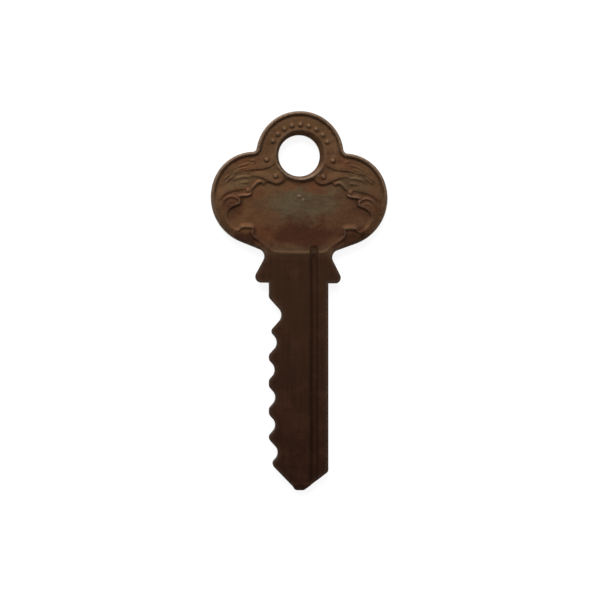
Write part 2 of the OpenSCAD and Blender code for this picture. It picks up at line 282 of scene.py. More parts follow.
def thread(turns: list[Turn], step: float) -> np.ndarray:
    """The closed outline that runs round a ring of circles, touching each.

    The straight line from one circle to the next touches both. Its outward direction n makes the
    distance between the centres along n equal to the first radius less the second, and each circle
    is touched at its centre plus its radius times n. Round a circle the outline is an arc.

    Args:
        turns: The circles in anticlockwise order.
        step: Widest spacing of the points.

    Returns:
        The outline's points, one row each, with no point repeated.
    """
    centre = np.array([(t.x, t.y) for t in turns])
    radius = np.array([t.radius for t in turns])
    run = np.roll(centre, -1, axis=0) - centre
    length = np.linalg.norm(run, axis=1)
    ahead = run / length[:, None]
    across = np.stack([ahead[:, 1], -ahead[:, 0]], axis=1)
    lean = np.clip((radius - np.roll(radius, -1)) / length, -1.0, 1.0)
    normal = lean[:, None] * ahead + np.sqrt(1.0 - lean**2)[:, None] * across
    angle = np.arctan2(normal[:, 1], normal[:, 0])
    pieces = []
    for i, turn in enumerate(turns):
        into = angle[i - 1]
        sweep = (angle[i] - into + math.pi) % TAU - math.pi
        fine = min(step, ARC_SHARE * abs(turn.radius)) if turn.radius else step
        count = max(1, math.ceil(abs(turn.radius * sweep) / fine))
        phi = into + sweep * np.arange(count) / count
        pieces.append(centre[i] + turn.radius * np.stack([np.cos(phi), np.sin(phi)], axis=1))
        following = (i + 1) % len(turns)
        leave = centre[i] + radius[i] * normal[i]
        reach = centre[following] + radius[following] * normal[i]
        pieces.append(spaced(leave, reach, step))
    outline = np.vstack(pieces)
    apart = np.linalg.norm(np.roll(outline, -1, axis=0) - outline, axis=1)
    closest = 0.1 * step * step
    return outline[apart > closest]


def crossing(a: np.ndarray, along_a: np.ndarray, b: np.ndarray, along_b: np.ndarray) -> np.ndarray:
    """Where two lines cross, each given by a point and a direction."""
    share = np.linalg.solve(np.stack([along_a, -along_b], axis=1), b - a)
    return a + along_a * share[0]


def turned(points: np.ndarray, degrees: float) -> np.ndarray:
    """Turns places clockwise about the ring hole's centre.

    The new x is x times the angle's cosine plus y times its sine, and the new y is y times the
    cosine less x times the sine.

    Args:
        points: The places, one row each.
        degrees: How far they turn.

    Returns:
        The turned places.
    """
    angle = math.radians(degrees)
    x, y = points[:, 0], points[:, 1]
    return np.stack([x * math.cos(angle) + y * math.sin(angle),
                     y * math.cos(angle) - x * math.sin(angle)], axis=1)


@dataclass
class BowPlan:
    """Plan of the bow: three lobes, a neck and two shoulders, all arcs that touch.

    The circles' places are measured from the ring hole before the bow leans on the blade.
    """

    lean: float = 0.9
    hole_off: float = 0.1
    hole_r: float = 3.0
    top_rise: float = 0.1
    top_r: float = 6.3
    lobe_x: float = 6.52
    lobe_drop: float = 5.74
    lobe_r: float = 6.16
    lobe_low_r: float = 6.97
    lobe_turn: float = 22.7
    notch_r: float = 0.66
    waist_half: float = 4.88
    waist_drop: float = 14.6
    waist_r: float = 1.09
    shoulder_half: float = 6.14
    shoulder_r: float = 0.88
    shoulder_lift: float = 0.9
    hole_to_stop: float = 18.4

    def to_frame(self, points: np.ndarray) -> np.ndarray:
        """Leans places on the bow to where they lie in the frame."""
        return turned(points + (self.hole_off, 0.0), self.lean)

    def from_frame(self, points: np.ndarray) -> np.ndarray:
        """Turns places in the frame back to the upright bow."""
        return turned(points, -self.lean) - (self.hole_off, 0.0)

    def right_side(self) -> list[tuple[float, float, float]]:
        """The circles of the right side from the shoulder up to the notch.

        The notch circle touches the top lobe and the side lobe from outside, so its centre is where
        two circles of the summed radii meet.

        Returns:
            Centre x, centre y and signed radius of each circle.
        """
        turn = math.radians(self.lobe_turn)
        drop = self.lobe_low_r - self.lobe_r
        lobe = np.array([self.lobe_x, -self.lobe_drop])
        top = np.array([0.0, self.top_rise])
        gap = lobe - top
        far = float(np.linalg.norm(gap))
        near_r, far_r = self.top_r + self.notch_r, self.lobe_r + self.notch_r
        along = (near_r**2 - far_r**2 + far**2) / (2.0 * far)
        side = math.sqrt(near_r**2 - along**2)
        notch = top + along * gap / far + side * np.array([-gap[1], gap[0]]) / far
        shoulder_y = self.shoulder_lift - self.hole_to_stop
        low_lobe = lobe - drop * np.array([math.cos(turn), math.sin(turn)])
        return [
            (self.shoulder_half - self.shoulder_r, shoulder_y, self.shoulder_r),
            (self.waist_half + self.waist_r, -self.waist_drop, -self.waist_r),
            (float(low_lobe[0]), float(low_lobe[1]), self.lobe_low_r),
            (self.lobe_x, -self.lobe_drop, self.lobe_r),
            (float(notch[0]), float(notch[1]), -self.notch_r),
        ]

    def turns(self) -> list[Turn]:
        """All the bow's circles, the left side's mirrored from the right side's.

        Returns:
            The circles in the frame, anticlockwise from the right shoulder.
        """
        right = self.right_side()
        left = [(-x, y, r) for x, y, r in reversed(right)]
        rows = np.array(right + [(0.0, self.top_rise, self.top_r)] + left)
        placed = self.to_frame(rows[:, :2])
        return [Turn(float(x), float(y), float(r)) for (x, y), r in zip(placed, rows[:, 2])]

    def stop_corner(self) -> Turn:
        """Cuts the right shoulder's round with the square stop face.

        The corner lies out from the round's centre by the root of the radius squared less the
        face's drop below the centre squared.

        Returns:
            The corner.
        """
        shoulder = self.turns()[0]
        below = -self.hole_to_stop - shoulder.y
        return Turn(shoulder.x + math.sqrt(shoulder.radius**2 - below**2), -self.hole_to_stop)

    def left_stop(self, edge_x: float) -> Turn:
        """Finds where the left shoulder's leaning underside meets the blade's edge.

        Args:
            edge_x: Sideways place of the blade's uncut edge.

        Returns:
            The corner.
        """
        level = self.shoulder_lift - self.hole_to_stop - self.shoulder_r
        ends = self.to_frame(np.array([[-self.shoulder_half, level], [0.0, level]]))
        share = (edge_x - ends[0, 0]) / (ends[1, 0] - ends[0, 0])
        return Turn(edge_x, float(ends[0, 1] + share * (ends[1, 1] - ends[0, 1])))


@dataclass
class BladePlan:
    """Plan of the blade: straight spine, blunt tip, and an edge with six V cuts."""

    top_y: float = -18.4
    length: float = 29.8
    width: float = 8.53
    spine_x: float = 4.18
    wear_r: float = 0.65
    tip_w: float = 1.3
    tip_in: float = 3.5
    spine_slope_l: float = 2.7
    nib_l: float = 0.6
    nib_w: float = 0.35
    cut_slope: float = 46.0
    first_cut: float = 4.57
    cut_pitch: float = 3.966
    cut_depths: tuple[float, ...] = (1.8, 1.14, 0.83, 0.92, 0.9, 1.27)
    cut_angle: float = 96.0
    cut_r: float = 1.34

    @property
    def edge_x(self) -> float:
        """Sideways place of the uncut edge."""
        return self.spine_x - self.width

    @property
    def end_y(self) -> float:
        """Height of the blunt end."""
        return self.top_y - self.length

    def corners(self) -> list[tuple[float, float, float]]:
        """Corners of the cut edge and the tip, from the left shoulder round to the spine.

        A cut's flanks meet at a point below its round bottom. Where two flanks cross before they
        reach the uncut edge they share one crest, and so do the last flank and the tip's slope.

        Returns:
            x, y and the radius of each corner's round.
        """
        half = math.radians(self.cut_angle / 2.0)
        foot = self.cut_r * (1.0 / math.sin(half) - 1.0)
        nib_x = self.spine_x - self.tip_in - self.tip_w - self.nib_w
        slope = math.tan(math.radians(self.cut_slope))
        slope_top = np.array([self.edge_x, self.end_y + self.nib_l + (nib_x - self.edge_x) * slope])
        found: list[tuple[float, float, float]] = []
        leave = None
        for i, depth in enumerate(self.cut_depths):
            mid = self.top_y - self.first_cut - i * self.cut_pitch
            reach = (depth + foot) * math.tan(half)
            apex = np.array([self.edge_x + depth + foot, mid])
            enter = np.array([self.edge_x, mid + reach])
            found += self.crest(leave, enter, apex - enter)
            found.append((float(apex[0]), mid, self.cut_r))
            way_out = np.array([self.edge_x, mid - reach])
            leave = (way_out, way_out - apex)
        nib = np.array([nib_x, self.end_y + self.nib_l])
        found += self.crest(leave, slope_top, nib - slope_top)
        return found + [
            (nib_x, self.end_y + self.nib_l, 0.0),
            (self.spine_x - self.tip_in - self.tip_w, self.end_y, self.wear_r),
            (self.spine_x - self.tip_in, self.end_y, self.wear_r),
            (self.spine_x, self.end_y + self.spine_slope_l, self.wear_r),
        ]

    def crest(self, leave: tuple[np.ndarray, np.ndarray] | None, enter: np.ndarray,
              along: np.ndarray) -> list[tuple[float, float, float]]:
        """The one or two worn corners between a flank that ends and one that begins.

        Args:
            leave: End and direction of the flank above, or None before the first cut.
            enter: Where the next flank starts on the uncut edge.
            along: Direction of the next flank.

        Returns:
            x, y and radius of each corner.
        """
        corner = (float(enter[0]), float(enter[1]), self.wear_r)
        if leave is None:
            return [corner]
        if leave[0][1] > enter[1]:
            return [(float(leave[0][0]), float(leave[0][1]), self.wear_r), corner]
        meet = crossing(leave[0], leave[1], enter, along)
        return [(float(meet[0]), float(meet[1]), self.wear_r)]

    def turns(self, first: Turn, last: Turn) -> list[Turn]:
        """The blade's circles, from the left shoulder to the right one.

        A round of radius r in a corner has its centre on the corner's middle line, r from both
        sides: the corner plus r times the sum of the sides' left-hand normals over one plus the
        cosine of the turn. A hollow corner takes a negative radius.

        Args:
            first: The corner at the left shoulder.
            last: The corner at the right shoulder.

        Returns:
            The circles in anticlockwise order, with both end corners.
        """
        rows = [(first.x, first.y, 0.0), *self.corners(), (last.x, last.y, 0.0)]
        spot = np.array(rows)
        run = np.diff(spot[:, :2], axis=0)
        run /= np.linalg.norm(run, axis=1)[:, None]
        before, after = run[:-1], run[1:]
        bend = before[:, 0] * after[:, 1] - before[:, 1] * after[:, 0]
        radius = spot[1:-1, 2] * np.sign(bend)
        left = np.stack([-before[:, 1] - after[:, 1], before[:, 0] + after[:, 0]], axis=1)
        spread = 1.0 + (before * after).sum(axis=1)
        centre = spot[1:-1, :2] + radius[:, None] * left / spread[:, None]
        middle = [Turn(float(x), float(y), float(r)) for (x, y), r in zip(centre, radius)]
        return [first, *middle, last]


@dataclass(frozen=True)
class Ridge:
    """A raised stroke of the coined ornament, or with a negative height a sunk one.

    The path is drawn in bow millimetres, with x outward from the middle line. Across the stroke
    the height falls off as the square of one minus the square of the distance over the side's
    width. A thinning end loses width and height with the root of a smooth ramp.
    """

    path: tuple[tuple[float, float], ...]
    height: float
    right_width: float
    left_width: float
    taper: Taper = Taper.BOTH

    def spine(self) -> np.ndarray:
        """The stroke's smooth middle line."""
        return smooth_path(np.array(self.path), PATH_STEP)

    def lift(self, points: np.ndarray) -> np.ndarray:
        """The stroke's height over its ground.

        The side is told by the cross product of the path's direction and the way to the point.

        Args:
            points: Places on the upright bow.

        Returns:
            The height at each place, 0 where the stroke doesn't reach.
        """
        line = self.spine()
        reach = max(self.right_width, self.left_width)
        low, high = line.min(axis=0) - reach, line.max(axis=0) + reach
        near = ((points > low) & (points < high)).all(axis=1)
        height = np.zeros(len(points))
        if near.any():
            far, along = nearest(points[near], line)
            at = np.clip((along * (len(line) - 1)).astype(int), 0, len(line) - 2)
            run, way = line[at + 1] - line[at], points[near] - line[at]
            on_left = run[:, 0] * way[:, 1] - run[:, 1] * way[:, 0] > 0.0
            share = self.share(along)
            width = np.where(on_left, self.left_width, self.right_width) * share
            height[near] = self.height * share * np.clip(1.0 - (far / width) ** 2, 0.0, 1.0) ** 2
        return height

    def share(self, along: np.ndarray) -> np.ndarray:
        """How much of the full width and height is left.

        Args:
            along: Shares of the stroke's length.

        Returns:
            Numbers from the thinnest end's share to 1.
        """
        start, full, thinnest = -0.06, 0.35, 0.05
        left = np.ones_like(along)
        if self.taper is Taper.BOTH:
            left = left * np.sqrt(ramp(along, start, full))
        if self.taper in (Taper.END, Taper.BOTH):
            left = left * np.sqrt(ramp(along, 1.0 - start, 1.0 - full))
        return np.maximum(left, thinnest)


@dataclass(frozen=True)
class Dome:
    """A round bead or swelling: centre in bow millimetres, radius and height over the ground."""

    x: float
    y: float
    radius: float
    height: float

    def lift(self, points: np.ndarray) -> np.ndarray:
        """The bead's height: a cap that falls off with the square of the distance."""
        square = ((points - (self.x, self.y)) ** 2).sum(axis=1) / self.radius**2
        return self.height * np.clip(1.0 - square, 0.0, 1.0)


def half_ornament() -> list[Ridge | Dome]:
    """The scrolls, leaves, crest and volute of one side, each stroke by its listed points.

    Paths run outward, so that a stroke's right-hand side is the steep one below it.

    Returns:
        The strokes and beads of the right side.
    """
    end, none = Taper.END, Taper.NONE
    return [
        # Upper scroll, its curl and the bead in its eye
        Ridge(((3.62, -0.85), (3.75, -1.2), (4.1, -1.5), (4.65, -1.8), (5.5, -2.04), (6.4, -2.09),
               (7.0, -2.16), (7.6, -2.26), (8.2, -2.36)), 0.095, 0.2, 1.3, end),
        Ridge(((5.35, -1.25), (5.5, -0.75), (5.2, -0.2), (4.6, -0.05)), 0.04, 0.24, 0.3),
        Dome(4.77, -0.72, 0.47, 0.24),
        # Lower scroll, its curl and the bead in its eye
        Ridge(((2.62, -2.95), (2.45, -3.4), (2.72, -3.82), (3.25, -4.03), (3.75, -3.96),
               (4.35, -3.73), (5.0, -3.44), (5.7, -3.18), (6.5, -3.06), (7.2, -3.1)),
              0.11, 0.22, 1.2, end),
        Dome(3.46, -3.06, 0.45, 0.25),
        # Teardrop beside the upper eye
        Ridge(((6.95, -1.45), (6.55, -1.15), (6.62, -0.85), (7.0, -0.9)), 0.07, 0.2, 0.22, none),
        # Leaf above the upper scroll, with its veins
        Ridge(((6.9, -1.2), (7.7, -1.45), (8.6, -1.75), (9.4, -2.05)), 0.06, 0.18, 0.36),
        Ridge(((7.1, -1.72), (7.9, -1.98), (8.7, -2.2), (9.5, -2.5)), 0.065, 0.18, 0.26),
        Ridge(((8.2, -2.42), (9.0, -2.56), (9.7, -2.85)), 0.06, 0.18, 0.24),
        # Middle leaf, its rolled tip and its veins
        Ridge(((6.9, -3.28), (7.6, -3.25), (8.3, -3.28), (9.0, -3.5), (9.5, -3.9)),
              0.075, 0.2, 0.4),
        Ridge(((7.1, -3.98), (7.6, -3.98), (8.2, -4.08), (8.8, -4.4)), 0.06, 0.34, 0.3),
        Ridge(((9.35, -2.95), (9.8, -3.35), (10.3, -3.82), (10.75, -4.25)), 0.065, 0.18, 0.24),
        Ridge(((10.05, -2.95), (10.5, -3.3), (10.9, -3.8)), 0.06, 0.18, 0.22),
        # Leaf whose lower edge hangs over the volute
        Ridge(((7.5, -4.93), (8.2, -4.96), (9.0, -5.05), (9.9, -5.27), (10.68, -5.64),
               (11.25, -6.22), (11.5, -6.85)), 0.1, 0.32, 1.4),
        # Crest between the lower scroll and the lobe
        Ridge(((4.98, -4.2), (5.3, -4.0), (5.72, -3.88), (6.1, -4.04), (6.5, -4.46),
               (6.85, -4.86), (7.15, -5.15)), 0.12, 0.26, 0.36),
        Dome(7.38, -5.2, 0.4, 0.13),
        # Lip under the lobe
        Ridge(((7.15, -5.78), (7.4, -5.86), (7.75, -5.92), (8.35, -5.96), (8.75, -6.05)),
              0.14, 0.26, 0.42, none),
        # Volute: outer band, inner turn and foot
        Ridge(((8.68, -7.05), (8.62, -6.75), (8.88, -6.38), (9.35, -6.13), (9.9, -6.1),
               (10.42, -6.3), (10.82, -6.72), (11.0, -7.3), (10.98, -7.9)), 0.12, 0.24, 0.34, end),
        Ridge(((9.35, -7.0), (9.6, -6.86), (9.95, -6.88), (10.18, -7.08), (10.2, -7.4)),
              0.05, 0.18, 0.18, none),
        Ridge(((8.62, -7.02), (9.15, -7.2), (9.7, -7.42), (10.12, -7.8)), 0.04, 0.2, 0.3, none),
    ]


def half_cartouche() -> tuple[tuple[float, float], ...]:
    """Right half of the sunk plate's edge, by listed points.

    Returns:
        The points in bow millimetres, from under the ring down to the neck.
    """
    return (
        (0.0, -3.3), (1.3, -3.2), (2.0, -3.5), (2.4, -3.98), (3.15, -4.3), (3.8, -4.18),
        (4.5, -3.92), (4.85, -4.02), (5.15, -4.36), (5.68, -4.18), (6.15, -4.48), (6.7, -5.05),
        (6.82, -5.5), (6.98, -5.88), (7.7, -6.12), (8.35, -6.22), (8.42, -6.7), (8.46, -7.12),
        (8.8, -7.36), (9.3, -7.52), (9.8, -7.8), (10.2, -8.25), (10.32, -8.8), (10.14, -9.5),
        (9.75, -10.15), (9.2, -10.62), (8.75, -10.72), (8.5, -10.4), (8.2, -10.12), (7.4, -10.06),
        (6.7, -10.12), (6.42, -10.42), (6.42, -10.9), (6.5, -11.35), (6.2, -11.75), (5.7, -12.15),
        (5.1, -12.7), (4.5, -13.3), (3.9, -13.72), (3.2, -13.94), (2.2, -14.0), (0.0, -14.0),
    )


def field_nicks() -> list[Ridge]:
    """Small raised burrs beside the nicks that use has left on the front's plain field.

    Returns:
        The burrs, not mirrored.
    """
    return [
        Ridge(((-0.28, -5.82), (0.04, -5.94), (0.28, -6.04)), 0.055, 0.38, 0.38),
        Ridge(((0.4, -6.28), (0.6, -6.46), (0.8, -6.58)), 0.055, 0.38, 0.38),
        Ridge(((2.9, -10.58), (3.2, -10.7)), 0.045, 0.34, 0.34),
        Ridge(((-4.4, -8.2), (-4.05, -8.32)), 0.015, 0.14, 0.14),
    ]


@dataclass
class Relief:
    """Heights of the coined and milled faces, as a function of the place on the key.

    A depth is measured down from the strip's face. A Span is where along the key, across it or
    from an edge a form sets in, and where it has its full size.
    """

    bow: BowPlan
    blade: BladePlan
    face: float
    # Border: the rim, the channel inside it, the ornament's ground and the lower lobes' roll
    rim_w: float = 0.56
    rim_wall: float = 0.34
    channel_w: float = 0.3
    channel_d: float = 0.24
    ground_d: float = 0.22
    ground_end: float = -8.2
    ground_fade: float = 3.6
    roll_w: float = 1.9
    roll_d: float = 0.3
    roll_y: Span = (-14.7, -12.6)
    border_y: Span = (-15.7, -14.5)
    # Low place under each bracket tab
    ledge_d: float = 0.17
    ledge_top_y: Span = (-10.45, -10.85)
    ledge_foot_y: Span = (-15.0, -12.4)
    ledge_x: Span = (9.6, 8.3)
    ledge_off_plate: Span = (-0.1, -0.5)
    # Sunk plate: depths along it, its wall beside the field, the pockets and the lower sill
    plate_y: tuple[float, ...] = (-3.9, -5.5, -8.0, -10.6, -12.2, -13.2, -14.0)
    plate_d: tuple[float, ...] = (0.34, 0.27, 0.22, 0.2, 0.15, 0.105, 0.06)
    plate_wall: float = 0.12
    pocket_wall: float = 0.25
    pocket_y: Span = (-7.8, -9.2)
    sill_w: float = 0.22
    sill_y: Span = (-12.7, -13.5)
    # Bead round the ring hole
    bead_w: float = 0.56
    bead_d: float = 0.38
    bead_power: float = 1.2
    bead_sink: float = 0.17
    bead_proud: Span = (0.2, 0.8)
    bead_skew: float = 0.4
    bead_lean: float = 30.0
    bead_run: float = 0.54
    # Arc of beads over the ring hole
    row_count: int = 9
    row_span: float = 126.0
    row_r: float = 4.4
    row_bead_r: float = 0.41
    row_bead_h: float = 0.16
    # Worn outer edge
    bow_edge_r: float = 0.26
    blade_edge_r: float = 0.07
    bow_edge_y: Span = (-16.5, -13.5)
    # Milled grooves, with less wall and depth in the bow
    groove_in: float = 1.32
    groove_w: float = 1.46
    groove_d: float = 0.28
    back_groove_in: float = 3.6
    back_groove_w: float = 1.5
    back_groove_d: float = 0.34
    groove_wall: float = 0.6
    groove_top: float = -12.94
    groove_run: float = 0.24
    groove_bow_y: Span = (-14.7, -14.0)
    groove_bow_wall: float = 0.5
    groove_bow_d: float = 0.3
    # Bevel at the tip
    tip_bevel_l: float = 0.7
    tip_bevel_d: float = 0.3
    ornament: list[Ridge | Dome] = field(default_factory=half_ornament)
    nicks: list[Ridge] = field(default_factory=field_nicks)

    def cartouche(self) -> np.ndarray:
        """The plate's whole edge, its left half mirrored from the right one.

        Returns:
            A closed loop of points on the upright bow.
        """
        step = 0.09
        right = smooth_path(np.array(half_cartouche()), step)
        left = right[::-1] * (-1.0, 1.0)
        return np.vstack([right[:-1], left[:-1]])

    def groove(self, points: np.ndarray, side: Face) -> np.ndarray:
        """Depth of the milled groove.

        From each wall's top the depth rises smoothly to the flat floor, and at the top end it
        rises along the run-out that the cutter leaves. In the bow, where less wears them, the
        walls are steeper, and the groove is shallower there.

        Args:
            points: Places in the frame.
            side: Which face.

        Returns:
            Depth in millimetres.
        """
        inward, width, deep = self.groove_size(side)
        in_bow = ramp(points[:, 1], *self.groove_bow_y)
        wall = self.groove_wall * (1.0 - self.groove_bow_wall * in_bow)
        middle = self.blade.spine_x - inward - width / 2.0
        from_wall = width / 2.0 - np.abs(points[:, 0] - middle)
        across = deep * (1.0 - self.groove_bow_d * in_bow) * ramp(from_wall / wall, 0.0, 1.0)
        return across * ramp(points[:, 1], self.groove_top, self.groove_top - self.groove_run)

    def groove_size(self, side: Face) -> tuple[float, float, float]:
        """Looks up one face's groove.

        Args:
            side: Which face.

        Returns:
            Distance from the spine, width and depth.
        """
        if side is Face.FRONT:
            return self.groove_in, self.groove_w, self.groove_d
        return self.back_groove_in, self.back_groove_w, self.back_groove_d

    def strokes(self, upright: np.ndarray, side: Face) -> np.ndarray:
        """Height of the ornament over its ground: the tallest stroke or bead at each place.

        Args:
            upright: Places on the upright bow.
            side: Which face. The front carries the arc of beads over the ring hole.

        Returns:
            Height over the ground in millimetres.
        """
        mirrored = np.stack([np.abs(upright[:, 0]), upright[:, 1]], axis=1)
        lift = np.zeros(len(upright))
        for stroke in self.ornament:
            lift = np.maximum(lift, stroke.lift(mirrored))
        count = self.row_count if side is Face.FRONT else 0
        for i in range(count):
            angle = math.radians(90.0 + self.row_span * (i / (count - 1) - 0.5))
            x, y = self.row_r * math.cos(angle), self.row_r * math.sin(angle)
            bead = Dome(x, y, self.row_bead_r, self.row_bead_h)
            lift = np.maximum(lift, bead.lift(upright))
        return lift

    def coined(self, upright: np.ndarray, gap: np.ndarray, side: Face) -> np.ndarray:
        """Depth of the bow's coined border below the face.

        In the upper part the rim drops to a channel, and the ground rises a little from there
        and carries the strokes. In the lower part the border rolls off to the outline: its depth
        is the square of the share of the roll's width that is left.

        Args:
            upright: Places on the upright bow.
            gap: Distance of each place from the outline.
            side: Which face.

        Returns:
            Depth below the face in millimetres.
        """
        fade = ramp(upright[:, 1], self.ground_end, self.ground_end + self.ground_fade)
        inner = self.rim_w + self.channel_w
        foot = self.rim_w + self.rim_wall / 2.0
        drop = ramp(gap, self.rim_w - self.rim_wall / 2.0, foot)
        rise = ramp(gap, foot, inner + self.channel_w)
        ground = drop * self.channel_d - rise * (self.channel_d - self.ground_d)
        lift = self.strokes(upright, side) * ramp(gap, foot, inner)
        roll = (1.0 - fade) * self.roll_d * np.clip(1.0 - gap / self.roll_w, 0.0, 1.0) ** 2
        return np.maximum(fade * ground - lift, 0.0) + roll * ramp(upright[:, 1], *self.roll_y)

    def ledge(self, upright: np.ndarray, from_plate: np.ndarray) -> np.ndarray:
        """Depth of the low place under each bracket tab, which runs out to the neck.

        Args:
            upright: Places on the upright bow.
            from_plate: Distance of each place from the plate's edge, positive on the plate.

        Returns:
            Depth below the face in millimetres.
        """
        x, y = np.abs(upright[:, 0]), upright[:, 1]
        below = ramp(y, *self.ledge_top_y) * ramp(y, *self.ledge_foot_y)
        beside = ramp(x, *self.ledge_x) * ramp(from_plate, *self.ledge_off_plate)
        return self.ledge_d * below * beside

    def pillow(self, upright: np.ndarray) -> np.ndarray:
        """Depth of the sunk plate: a smooth curve along the key through listed depths."""
        curve = smooth_path(np.array([self.plate_y, self.plate_d]).T[::-1], PATH_STEP)
        return np.interp(upright[:, 1], curve[:, 0], curve[:, 1])

    def height(self, points: np.ndarray, gap: np.ndarray, side: Face) -> np.ndarray:
        """Height of a face over the strip's middle, before its groove and its worn edge.

        The plate is let into the border with a smooth wall, and at its lower end with a straight
        slope.

        Args:
            points: Places in the frame.
            gap: Distance of each place from the key's outline.
            side: Which face.

        Returns:
            Height in millimetres, never above the strip's own face.
        """
        upright = self.bow.from_frame(points)
        y = upright[:, 1]
        from_plate = signed_gap(upright, self.cartouche())
        depth = self.coined(upright, gap, side) * ramp(points[:, 1], *self.border_y)
        depth = np.maximum(depth, self.ledge(upright, from_plate))
        low = ramp(y, *self.sill_y)
        wall = self.plate_wall + (self.pocket_wall - self.plate_wall) * ramp(y, *self.pocket_y)
        sunk = (1.0 - low) * ramp(from_plate, -wall, wall)
        sunk += low * np.clip(from_plate / self.sill_w, 0.0, 1.0)
        depth = depth * (1.0 - sunk) + self.pillow(upright) * sunk
        if side is Face.FRONT:
            for nick in self.nicks:
                depth -= nick.lift(upright)
        return np.minimum(self.ringed(points, self.face - depth), self.face)

    def ringed(self, points: np.ndarray, height: np.ndarray) -> np.ndarray:
        """Lays the ring bead round the hole over a face.

        Inward of its crest the bead falls off with a power of the distance. Its crest reaches the
        strip's face beside the plate and stays lower on the other sides. Outward it falls
        smoothly to the face that lies there.

        Args:
            points: Places in the frame.
            height: The face's height at each place.

        Returns:
            The height with the bead.
        """
        crest, from_crest = self.crest(points)
        steep = ramp(facing(points, (0.0, -1.0)), *self.bead_proud)
        top = self.face - self.bead_sink * (1.0 - steep)
        outer = height + (top - height) * (1.0 - ramp(from_crest, 0.0, self.bead_run))
        inner = top - self.bead_d * np.clip(-from_crest / crest, 0.0, 1.0) ** self.bead_power
        return np.where(from_crest < 0.0, inner, outer)

    def crest(self, points: np.ndarray) -> tuple[np.ndarray, np.ndarray]:
        """Finds the ring bead's crest, which lies farther out where the ring has worn it.

        Its distance from the hole grows with the cosine of the angle to the worn direction.

        Args:
            points: Places in the frame.

        Returns:
            How far the crest lies from the hole's edge, and each place from the crest.
        """
        turn = math.radians(self.bead_lean)
        lean = facing(points, (math.cos(turn), math.sin(turn)))
        crest = self.bead_w * (1.0 + self.bead_skew * lean)
        return crest, np.linalg.norm(points, axis=1) - self.bow.hole_r - crest

    def cut(self, points: np.ndarray, gap: np.ndarray) -> np.ndarray:
        """How far the tip's bevel and the worn edge lie below the coined and milled face.

        The worn edge is a quarter round, wider on the bow than on the blade.

        Args:
            points: Places in the frame.
            gap: Distance of each place from the key's outline.

        Returns:
            Depth in millimetres.
        """
        from_end = points[:, 1] - self.blade.end_y
        bevel = self.tip_bevel_d * np.clip(1.0 - from_end / self.tip_bevel_l, 0.0, 1.0)
        on_bow = ramp(points[:, 1], *self.bow_edge_y)
        edge_r = self.blade_edge_r + (self.bow_edge_r - self.blade_edge_r) * on_bow
        short = np.clip(edge_r - gap, 0.0, None)
        worn = edge_r - np.sqrt(np.clip(edge_r**2 - short**2, 0.0, None))
        return bevel + worn


